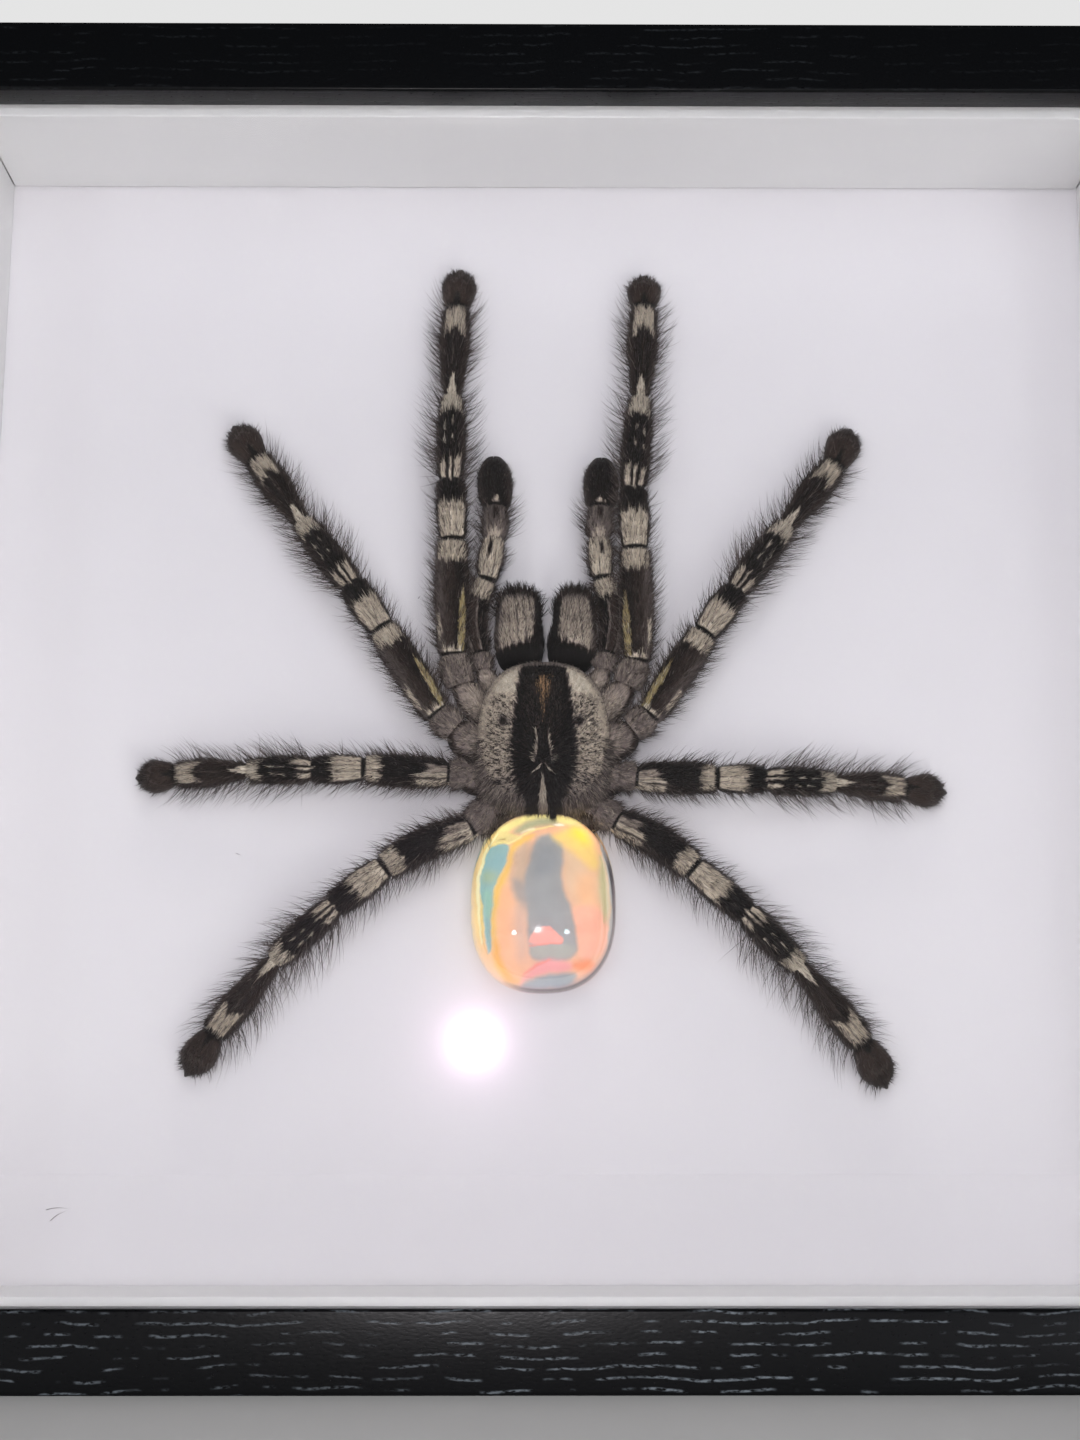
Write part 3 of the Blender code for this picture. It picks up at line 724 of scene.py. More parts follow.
LIMBS = (
    Limb("leg_1", "left", "front", (16.0, 127.8), 1.0, 0.0,
         ((6.2, -16), (22.5, 0), (12.5, -2), (18.0, 0), (19.5, 2), (8.5, 6))),
    Limb("leg_1", "right", "front", (16.0, 127.8), 1.0, 0.0,
         ((5.3, 25), (22.0, -1), (12.5, -1), (19.5, 5), (20.0, 3), (7.0, 1))),
    Limb("leg_2", "left", "front", (16.9, 119.2), 1.0, 0.0,
         ((4.7, -50), (19.5, -33), (11.0, -35), (16.5, -37), (16.5, -35), (8.5, -35))),
    Limb("leg_2", "right", "front", (16.9, 119.2), 1.0, 0.0,
         ((4.5, 53), (19.0, 34), (11.0, 36), (17.0, 37), (16.5, 38), (8.5, 24))),
    Limb("leg_3", "left", "rear", (14.7, 110.3), 0.93, 0.0,
         ((3.5, -87), (16.0, -88), (10.0, -91), (12.5, -89), (14.0, -92), (7.5, -93))),
    Limb("leg_3", "right", "rear", (14.7, 110.3), 0.93, 0.0,
         ((3.4, 100), (15.0, 92), (9.5, 91), (13.5, 91), (13.5, 93), (8.0, 94))),
    Limb("leg_4", "left", "rear", (10.9, 103.8), 0.97, -0.8,
         ((4.8, -142), (18.0, -116), (12.0, -128), (15.0, -132), (17.5, -140), (9.0, -146))),
    Limb("leg_4", "right", "rear", (10.9, 103.8), 0.97, 0.8,
         ((4.1, 129), (17.0, 123), (13.0, 130), (14.0, 135), (18.5, 140), (9.0, 152))),
    Limb("pedipalp", "left", "palp", (11.8, 131.0), 0.74, 1.9,
         ((3.5, -6), (14.3, 5), (8.5, 9), (6.5, 3), (10.5, -3))),
    Limb("pedipalp", "right", "palp", (11.8, 131.0), 0.74, -1.5,
         ((3.5, 10), (14.7, -4), (8.0, -4), (6.5, 4), (10.3, 2))),
)
LEG_JOINTS = ("trochanter", "femur", "patella", "tibia", "metatarsus", "tarsus")
PALP_JOINTS = ("trochanter", "femur", "patella", "tibia", "cymbium")
LEG_HEIGHTS = (6.4, 7.0, 9.0, 8.5, 6.5, 4.2, 3.4)
PALP_HEIGHTS = (5.6, 5.7, 7.5, 7.5, 6.2, 4.4)
# Radius along each joint: how far along it, and how thick it is there
JOINT_SHAPES = {
    "trochanter": ((0.0, 2.7), (0.45, 3.2), (0.9, 2.8)),
    "femur": ((0.06, 2.7), (0.3, 3.1), (0.65, 3.2), (0.95, 2.8)),
    "patella": ((0.08, 2.6), (0.5, 3.0), (0.92, 2.6)),
    "tibia": ((0.06, 2.5), (0.35, 2.8), (0.7, 2.6), (0.95, 2.1)),
    "metatarsus": ((0.05, 1.7), (0.25, 2.2), (0.55, 3.0), (0.95, 2.6)),
    "tarsus": ((0.06, 2.4), (0.25, 3.0), (0.5, 3.5), (0.7, 3.2), (0.86, 2.3), (0.97, 1.1)),
    "cymbium": ((0.04, 2.7), (0.2, 3.1), (0.5, 3.4), (0.8, 3.0), (0.95, 2.2)),
}
PALP_GIRTHS = (1.0, 0.98, 1.1, 1.25, 1.4)
ROW_STEP = 0.3                  # distance between the rings of a limb
LIMB_COLUMNS = 56
BEND_SOFTNESS = 1.4             # length over which a bend and a change of girth are eased
PINCH = 0.17                    # how much a joint's waist draws in
PINCH_LENGTH = 0.55
LEAST_RADIUS = 0.08

# Marks of each joint: tone, from where to where along it (0 at its root, 1 at its tip) and
# across it (-1 the rear side, 1 the front side). Where two more numbers follow, the start and
# the end lean by that for each unit off the mark's middle, which makes arrows and chevrons
LEG_MARKS = {
    "metatarsus": ((CREAM, 0.725, 0.945, -0.74, 0.74, -0.16, 0),
                   (SOOT, 0.95, 1.3, -1.1, 1.1),
                   (0.82, -0.2, 0.22, -0.58, 0.58, 0, -0.36),
                   (GREY, 0.30, 0.62, -0.10, -0.03, 0.6, 0.6)),
    "tarsus": ((BLACK, -0.1, 0.30, -0.30, 0.30, 0, -0.8),
               (0.40, 0.60, 0.65, -0.60, 0.60, -0.12, -0.12)),
    "tibia": ((0.80, 0.78, 1.2, -0.94, 0.94, -0.04, 0),
              (CREAM, -0.1, 0.17, -0.80, -0.42),
              (CREAM, -0.1, 0.21, -0.12, 0.08),
              (CREAM, -0.1, 0.21, 0.30, 0.76),
              (PALE, 0.58, 0.64, 0.04, 0.20),
              (PALE, 0.40, 0.45, 0.04, 0.20),
              (PALE, 0.53, 0.58, -0.56, -0.40),
              (PALE, 0.38, 0.43, -0.56, -0.40)),
    "patella": ((CREAM, -0.2, 0.56, -0.90, 0.90),
                (CREAM, 0.93, 1.2, -0.35, 0.35, 0.3, 0)),
}
FEMUR_END = ((CREAM, 0.79, 1.2, -0.96, 0.96, 0.03, 0),)
MARKS = {
    "front": {**LEG_MARKS, "femur": FEMUR_END + (
        (STRAW, 0.02, 0.58, 0.45, 0.90, 0, -0.9),
        (CREAM, 0.12, 0.36, -0.98, -0.66),
        (CREAM, -0.1, 0.05, -0.7, 0.7))},
    "rear": {**LEG_MARKS, "femur": FEMUR_END + (
        (CREAM, -0.1, 0.42, -1.1, -0.12, 0, -0.25),
        (SOOT, 0.05, 0.40, -0.62, -0.52),
        (TAN, -0.1, 0.26, -0.15, 0.45))},
    "palp": {
        "cymbium": ((CREAM, -0.2, 0.12, -0.35, 0.35, 0, -0.2),),
        "tibia": ((0.25, 0.50, 0.90, -0.24, 0.24),
                  (0.66, -0.2, 0.16, -0.6, 0.6)),
        "patella": ((CREAM, -0.2, 0.95, -0.92, 0.92),
                    (SOOT, 0.55, 0.86, -0.34, 0.0)),
        "femur": ((CREAM, 0.74, 1.2, -0.95, 0.95),
                  (0.50, -0.2, 0.70, -1.1, -0.60),
                  (BROWN, -0.2, 0.72, -0.50, 0.08),
                  (0.52, -0.2, 0.66, 0.10, 0.32))},
}
GROUND_TONES = {                # one for each joint
    "front": (0.50, 0.25, 0.08, 0.10, 0.16, 0.27),
    "rear": (0.48, 0.06, 0.05, 0.07, 0.20, 0.27),
    "palp": (0.48, 0.03, 0.40, 0.48, 0.10),
}
# Fringe of a joint: how dense it is beside the others, and its hairs' usual length
FRINGE = {
    "trochanter": (0.9, 2.2), "femur": (1.7, 3.3), "patella": (1.0, 3.4),
    "tibia": (1.6, 5.0), "metatarsus": (1.3, 4.4), "tarsus": (1.0, 1.4), "cymbium": (1.0, 1.6),
}


def kinds_of(limb):
    """The names of a limb's joints from its root on."""
    return PALP_JOINTS if limb.pair == "palp" else LEG_JOINTS


class Course(NamedTuple):
    """A limb ring by ring: middle, radius, the three directions, joint and share along it."""
    middle: np.ndarray
    radius: np.ndarray
    tangent: np.ndarray
    top: np.ndarray
    fore: np.ndarray
    joint: np.ndarray
    share: np.ndarray
    along: np.ndarray


def eased(values, rows):
    """A running mean with a raised-cosine window, holding both ends."""
    window = np.hanning(rows + 2)[1:-1]
    window /= window.sum()
    padded = np.pad(values, ((rows // 2, rows // 2), (0, 0)), mode="edge")
    return np.stack([np.convolve(column, window, "valid") for column in padded.T], -1)


def limb_course(limb):
    """Rings every ROW_STEP along the joints' straight lines, with the femur bowed by a half
    sine. Corners and girths are eased, and each joint's waist is drawn in by a bell curve.
    """
    kinds, palp = kinds_of(limb), limb.pair == "palp"
    heights = PALP_HEIGHTS if palp else LEG_HEIGHTS
    sign = -1 if limb.side == "left" else 1
    start = np.array([BODY_X + limb.root[0] * sign, limb.root[1]])
    rings = []
    for index, (kind, (length, bearing)) in enumerate(zip(kinds, limb.joints)):
        count = max(6, round(length / ROW_STEP))
        share = np.arange(count + (index == len(kinds) - 1)) / count
        angle = math.radians(bearing)
        step = np.array([math.sin(angle), math.cos(angle)])
        place = start + np.outer(share * length, step)
        if kind == "femur":
            place = place + np.outer(np.sin(math.pi * share) * limb.bow, [-step[1], step[0]])
        height = heights[index] + (heights[index + 1] - heights[index]) * share
        radius = (np.interp(share, *zip(*JOINT_SHAPES[kind]))
                  * (limb.girth * (PALP_GIRTHS[index] if palp else 1)))
        rings.append(xyz(place[:, 0], BOARD_FACE_Y - height, place[:, 1], radius, index, share))
        start = start + step * length
    rings = np.concatenate(rings)
    eased_rings = eased(rings[:, :4], int(BEND_SOFTNESS / ROW_STEP) * 2 + 1)
    middle, radius = eased_rings[:, :3], eased_rings[:, 3]
    joint, share = rings[:, 4].astype(int), rings[:, 5]
    along = np.concatenate([[0], np.cumsum(np.linalg.norm(np.diff(middle, axis=0), axis=1))])
    waists = along[1:][np.diff(joint) > 0]
    nearest = np.abs(along[:, None] - waists[None]).min(axis=1)
    radius *= 1 - PINCH * bell(nearest, 0, PINCH_LENGTH)
    left = along[-1] - along
    radius *= (1 - np.clip(1 - left / (1.1 * radius), 0, 1) ** 2.6) ** 0.5
    tangent = unit(np.gradient(middle, axis=0))
    off_board = np.array([0, -1.0, 0])
    top = unit(off_board - tangent * (tangent @ off_board)[:, None])
    fore = np.cross(tangent, top) * -sign
    radius = np.maximum(radius, LEAST_RADIUS)
    return Course(middle, radius, tangent, top, fore, joint, share, along)


def over(tone, new, mask):
    """Lays a new tone over the old where the mask is. The warm tones at the ramp's end don't
    mix with the rest, so they have a hard edge.
    """
    if np.ndim(new) == 0 and new > 0.9:
        return np.where(mask > 0.5, new, tone)
    return tone + (new - tone) * mask


def limb_tones(limb, joint, share, angle, along):
    """The coat's tone for arrays of places on a limb. Each mark is laid over the ground in
    turn, and edges along the limb are torn by a ripple that changes round it.
    """
    at = {kind: joint == index for index, kind in enumerate(kinds_of(limb))}
    lengths = np.array([length for length, _ in limb.joints])[joint]
    across = np.sin(angle)
    seed = 1 + sum(map(ord, limb.name + limb.side)) % 17
    torn = (ripple(angle * 9.0, seed) * 0.55 + ripple(angle * 23 + along * 0.9, seed + 3) * 0.3)
    place = share + torn / lengths
    tone = np.array(GROUND_TONES[limb.pair])[joint]
    tone = tone + 0.05 * ripple(angle * 6 + along * 0.5, seed + 5)
    tone = tone - 0.2 * across * at["femur"] * (limb.pair == "front")
    tone = tone + 0.13 * rise(np.abs(across), 0.5, 0.4) * (tone < 0.22)
    above = rise(np.cos(angle), -0.45, 0.5)
    wavy = across + 0.05 * ripple(along * 1.3, seed + 7)
    for kind, marks in MARKS[limb.pair].items():
        for new, start, end, low, high, *leans in marks:
            start_lean, end_lean = leans or (0, 0)
            off = np.abs(across - (low + high) / 2)
            mask = within(place, start + start_lean * off, end + end_lean * off, 0.4 / lengths)
            tone = over(tone, new, mask * within(wavy, low, high, 0.09) * at[kind] * above)
    combed = ripple(angle * 15 + 0.8 * ripple(along * 0.9, seed + 2) + along * 0.15, seed + 11)
    lines = rise(combed, 0.3, 0.35) * (tone > 0.5) * (tone < 0.9)
    tone = tone - 0.2 * lines + 0.05 * (combed < -0.4) * (tone > 0.5) * (tone < 0.8)
    tone = over(tone, 0.35, 1 - above)
    before, after = share * lengths, (1 - share) * lengths
    bracket = 0.42 + 2.0 * rise(np.abs(across), 0.84, 0.08)
    line = (at["patella"] * (1 - rise(before, bracket - 0.15, 0.3))
            + at["femur"] * (1 - rise(after, 0.3, 0.3))
            + at["femur"] * (1 - rise(before, 0.25, 0.3)) * (np.abs(across) < 0.9)
            + at["tibia"] * (1 - rise(after, 0.12, 0.2)) * 0.7
            + (joint == len(at) - 1) * (1 - rise(before, 0.3, 0.4)))
    return over(tone, 0.03, np.clip(line, 0, 1))


def limb_grid(limb, course):
    """Points, angles and tones of a limb's skin. A ring is nearly round: a little flatter off
    the board than wide, with shallow furrows along the limb and small tufts in the nap.
    """
    angle = np.linspace(-math.pi, math.pi, LIMB_COLUMNS, endpoint=False)[None]
    along, share, joint = (part[:, None] for part in (course.along, course.share, course.joint))
    furrow = 1 - 0.035 * bell(np.abs(np.sin(angle)), 0.33, 0.12) * (np.cos(angle) > 0)
    tuft = (1 + 0.018 * ripple(angle * 8 + along * 1.2, 4)
            + 0.014 * ripple(along * 2.1 + angle * 3, 9))
    size = course.radius[:, None] * furrow * tuft
    points = (course.middle[:, None]
              + (size * np.cos(angle) * 0.94)[..., None] * course.top[:, None]
              + (size * np.sin(angle))[..., None] * course.fore[:, None])
    if limb.pair == "palp":
        last = joint == len(limb.joints) - 1
        lobe = 1.3 * rise(share, 0.72, 0.28) * last * np.abs(np.sin(angle))
        points = points + lobe[..., None] * course.tangent[:, None]
    joint, share, angle = np.broadcast_arrays(joint, share, angle)
    return points, limb_tones(limb, joint, share, angle, along), xyz(along, angle * 2.6)


def scattered(rng, course, weights, angles):
    """Random places on a limb: rows drawn by weight, and the point, normal and directions."""
    count = len(angles)
    row = rng.choice(len(course.along), count, p=weights / weights.sum())
    normal = (np.cos(angles)[:, None] * course.top[row] + np.sin(angles)[:, None]
              * course.fore[row])
    slide = (rng.random(count) - 0.5)[:, None] * ROW_STEP * course.tangent[row]
    roots = course.middle[row] + normal * course.radius[row][:, None] * 0.95 + slide
    return row, roots, normal, course.tangent[row]


def limb_nap(limb, course, settings, rng):
    """Short hairs: they lie back along the limb and stand off it a little."""
    count = int(np.sum(course.radius * 2 * math.pi) * ROW_STEP * settings.nap_density)
    angles = rng.normal(0, 1.15, count)
    row, roots, normal, tangent = scattered(rng, course, course.radius, angles)
    joint, share = course.joint[row], course.share[row]
    tones = limb_tones(limb, joint, share, angles, course.along[row])
    dark = rng.random(count) < 0.12
    tones = np.where(dark, tones * 0.6, tones) + rng.normal(0, 0.03, count)
    tones = np.clip(tones, 0, np.where(tones > 0.91, 0.96, 0.90))
    lift = rng.uniform(0.12, 0.42, count)
    lift = (lift + 0.55 * rng.random(count) * rise(np.abs(np.sin(angles)), 0.6, 0.3)
            * (tones < 0.5))[:, None]
    ways = tangent + normal * lift + rng.normal(0, 0.13, (count, 3))
    last = joint == len(limb.joints) - 1
    lengths = settings.nap_length / MM * rng.uniform(0.6, 1.25, count) * np.where(last, 0.62, 1)
    first = joint == 0
    ways = ways + rng.normal(0, 0.35, (count, 3)) * first[:, None]
    tones = tones + rng.normal(0, 0.09, count) * first
    room = (1 - share) * np.array([length for length, _ in limb.joints])[joint]
    lengths = np.minimum(lengths, np.maximum(0.4, room * 0.9 + 0.1))
    widths = settings.nap_width / MM * rng.uniform(0.7, 1.25, count)
    return roots, ways, -normal * 0.12, lengths, widths, tones


def limb_hairs(limb, course, settings, rng, density, scatter, reach, tilt, tone):
    """Hairs that stand out from both sides of a limb and sweep towards its tip. Without a
    reach their length depends on the joint.
    """
    weights, usual = np.array([FRINGE[kind] for kind in kinds_of(limb)])[course.joint].T
    count = int(course.along[-1] * settings.fringe_density * density)
    side = np.where(rng.random(count) < 0.5, -1, 1)
    angles = side * rng.normal(math.radians(84), math.radians(scatter), count)
    row, roots, normal, tangent = scattered(rng, course, weights, angles)
    last = course.joint[row] == len(limb.joints) - 1
    if reach:
        lengths = rng.uniform(*reach, count) * np.where(last, 0.6, 1)
    else:
        rear = np.where((side < 0) & (limb.name == "leg_4"), 1.45, 1.0)
        thin = 0.75 if limb.pair == "palp" else 1.0
        lengths = usual[row] * rear * thin * rng.uniform(0.6, 1.45, count)
    ways = (normal + tangent * rng.uniform(*tilt, count)[:, None]
            + rng.normal(0, 0.16, (count, 3)))
    bends = tangent * rng.uniform(0.05, 0.45, count)[:, None] - normal * 0.1
    widths = settings.fringe_width / MM * rng.uniform(0.75, 1.25, count)
    tones = np.clip(rng.normal(tone, 0.08, count), 0.05, 0.55)
    keep = ~last | (course.share[row] < 0.95)
    return tuple(part[keep] for part in (roots, ways, bends, lengths, widths, tones))


class FRAMED_OT_limbs(bpy.types.Operator):
    """Builds the legs and palps with their skin, banding, nap and fringe"""
    bl_idname = "framed.limbs"
    bl_label = "Legs and Palps"

    def execute(self, context):
        settings = context.scene.framed_spider
        cuticle = furred_skin("banded_cuticle", 1.6, 0.16, 0.45)
        nap, fringe = fur("velvet_nap"), fur("long_setae", 0.5, 0.8, 1.0)
        rng = np.random.default_rng(RNG_SEED)
        # The furry edge's short standing hairs, and the long upright ones
        standing = partial(limb_hairs, density=1.1, scatter=34, reach=(0.8, 2.0),
                           tilt=(0.5, 1.5), tone=0.32)
        upright = partial(limb_hairs, density=0.5, scatter=20, reach=None, tilt=(0.25, 0.85),
                          tone=0.36)
        for limb in LIMBS:
            name = "%s_%s" % (limb.name, limb.side)
            course = limb_course(limb)
            points, tones, lay = limb_grid(limb, course)
            skin(name + "_skin", points, cuticle, "banded_leg_fur", name,
                 coat=coat_colour(tones), lay=lay)
            for kind, finish, made, joints in (("nap", nap, limb_nap, 1),
                                               ("fringe", fringe, standing, 2),
                                               ("setae", fringe, upright, 3)):
                hairs("%s_%s" % (name, kind), "banded_leg_fur", finish, joints,
                      *made(limb, course, settings, rng))
        return {"FINISHED"}


# ---------------- spider: body
CARAPACE = Egg(12.8, 17.5, 11.4, 6.0, 4.4, 2.6)
CARAPACE_PLACE = (BODY_X, CARAPACE_Z, 6.6)
CARAPACE_FULLNESS = 2.7
JAW = Egg(4.7, 5.9, 8.6, 4.0, 4.2, 3.4)     # its visible form, which reaches under the rim
JAW_Z = 139.5
JAW_HEIGHT = 8.2
# Place across the frame, bearing and narrowing towards the tip
JAW_PLACES = {"left": (-5.45, 0.0, 0.25), "right": (5.15, 3.0, 0.42)}
COXA_HEIGHT = 5.8
COXA_TILT = 1.3                 # how far a coxa's ends stand above and below its middle
# Inner end, outer end (across from the body's middle and up), radius and tone of each coxa
COXAE = {
    "pedipalp": ((8.0, 124.5), (11.8, 131.0), 2.1, 0.50),
    "leg_1": ((8.5, 119.5), (16.0, 127.8), 3.0, 0.49),
    "leg_2": ((8.5, 115.2), (16.4, 118.0), 3.9, 0.43),
    "leg_3": ((8.0, 111.0), (14.5, 109.6), 3.7, 0.41),
    "leg_4": ((6.0, 108.0), (10.9, 103.9), 3.5, 0.41),
}
FOVEA_Y = -2.5
# Hairs tried over the carapace for each kind of fur
NAP_TRIES, BAND_TRIES, LINE_TRIES, RIM_TRIES, SKIRT_TRIES = 24000, 9000, 14000, 9000, 5200
JAW_TRIES = 12000
JAW_NAP = 6500                  # the first of them, which cover the whole jaw
PALE_LINES = (                  # (x, y, width) points on the black band
    ((-1.45, 3.2, 0.1), (-1.15, 1.2, 0.3), (-1.3, -1.0, 0.35), (-1.7, -2.9, 0.1)),
    ((0.85, 3.2, 0.1), (1.0, 1.2, 0.35), (1.3, -0.8, 0.3), (1.5, -2.6, 0.1)),
    ((-2.1, -1.2, 0.1), (-1.7, -2.8, 0.2)),
    ((2.1, -1.4, 0.1), (1.5, -3.0, 0.2)),
    ((-1.9, -4.7, 0.1), (-0.9, -4.1, 0.25), (-0.3, -3.2, 0.15)),
    ((1.7, -4.8, 0.1), (0.9, -4.2, 0.25), (0.3, -3.2, 0.15)),
    ((-0.5, -4.6, 0.1), (-0.15, -5.4, 0.3), (-0.1, -6.6, 0.4)),
    ((-0.15, -6.2, 0.6), (-0.1, -8.5, 1.2), (-0.1, -11.4, 1.0)),
)
# Two round eyes in the middle and six round them, as (x, y, radius) of one side's four
EYES = ((0.72, 14.9, 0.42), (1.15, 13.4, 0.32), (0.85, 15.9, 0.27), (1.3, 14.6, 0.24))


def carapace_relief(x, y):
    """The head's low dome, the pit behind the middle and eight shallow furrows that run out
    from it, as a rise in millimetres.
    """
    head = 0.55 * bell(x, 0, 5.4) * bell(y, 7.5, 7.0)
    pit = -0.55 * bell(x, 0, 1.5) * bell(y, FOVEA_Y, 0.7)
    turn, away = np.arctan2(x, y - FOVEA_Y), np.hypot(x, y - FOVEA_Y)
    furrows = np.clip(np.cos(turn * 8 + math.pi), 0, 1) ** 6 * within(away, 2.0, 10.5, 2.0)
    return head + pit - 0.26 * furrows


def carapace_top(x, y):
    """Points on the carapace's upper side and their normals."""
    z, normal = egg_top(x, y, CARAPACE, CARAPACE_FULLNESS)
    return xyz(x, y, z + carapace_relief(x, y)), normal


def carapace_tones(x, y):
    """A black band down the middle whose edges break into points, cream patches beside the
    eyes, tan sides with dark curls between the band and the smooth outer border, a pale front
    rim, and pale lines on the band.
    """
    turn, away = np.arctan2(x, y - FOVEA_Y), np.hypot(x, y - FOVEA_Y)
    out = rho(x, y, CARAPACE)
    spikes = ripple(turn * 37, 3) * 0.8 + ripple(turn * 90, 8) * 0.6
    half = np.interp(y, (-11.7, -8.4, -4.8, 0.8, 6.2, 11.7, 15.8, 17.5),
                     (2.9, 4.5, 5.8, 6.2, 5.6, 4.9, 4.6, 4.6))
    warp = ripple(x * 1.7 + ripple(y * 1.3, 2) * 1.1, 5) * 1.2
    flow = ripple(x * 3.3 + warp, 5) + ripple(y * 3.6 + ripple(x * 2.4, 4) * 1.5, 6)
    curls = bell(flow, -0.1, 0.17) * within(out, 0.35, 0.86, 0.14) * (1 - rise(y, 9.0, 2.5))
    tone = 0.71 + 0.05 * ripple(turn * 14, 4) + 0.03 * ripple(x * 7 + y * 5, 9)
    tone = tone - 0.17 * rise(-y, 2, 7) - 0.66 * np.clip(curls * 1.3, 0, 1)
    for across in (-7.6, 6.7):
        spot = bell(x, across, 0.7) * bell(y, 4.9, 0.8)
        tone = over(tone, 0.1, np.clip(spot * 1.3, 0, 1))
    patches = within(np.abs(x), 4.6, 9.0, 0.8) * within(y, 10.6, 16.4, 1.2)
    tone = over(tone, 0.80 + 0.03 * spikes, patches)
    torn = (0.45 + 0.6 * rise(-y, -2, 5)) * spikes
    band = 1 - rise(np.abs(x) + torn * rise(away, 2, 4), half - 0.6, 1.0)
    tone = over(tone, 0.05 + 0.03 * spikes, band)
    for points in PALE_LINES:
        tone = over(tone, 0.78, 0.8 * stroke(x, y, points, 0.35))
    rim = within(out, 0.925, 0.985, 0.02) * rise(y, 8, 5)
    tone = over(tone, 0.66, 0.8 * rim)
    return over(tone, 0.25 + 0.2 * rise(-y, 2, 4), rise(out, 0.985, 0.01))


def rust_share(x, y):
    """How much of the hair behind the eyes is rust: a streaky wedge that fades to the rear."""
    wedge = np.exp(-(np.abs(x) / np.interp(y, (5, 9, 12, 14), (0.4, 0.75, 1.5, 1.2))) ** 3)
    fade = np.interp(y, (4.0, 8.0, 11.0, 13.4, 14.2), (0.0, 0.35, 0.8, 0.8, 0.0))
    return np.clip(wedge * fade * (0.6 + 0.8 * ripple(x * 9 + ripple(y * 1.5, 3), 2)), 0, 1)


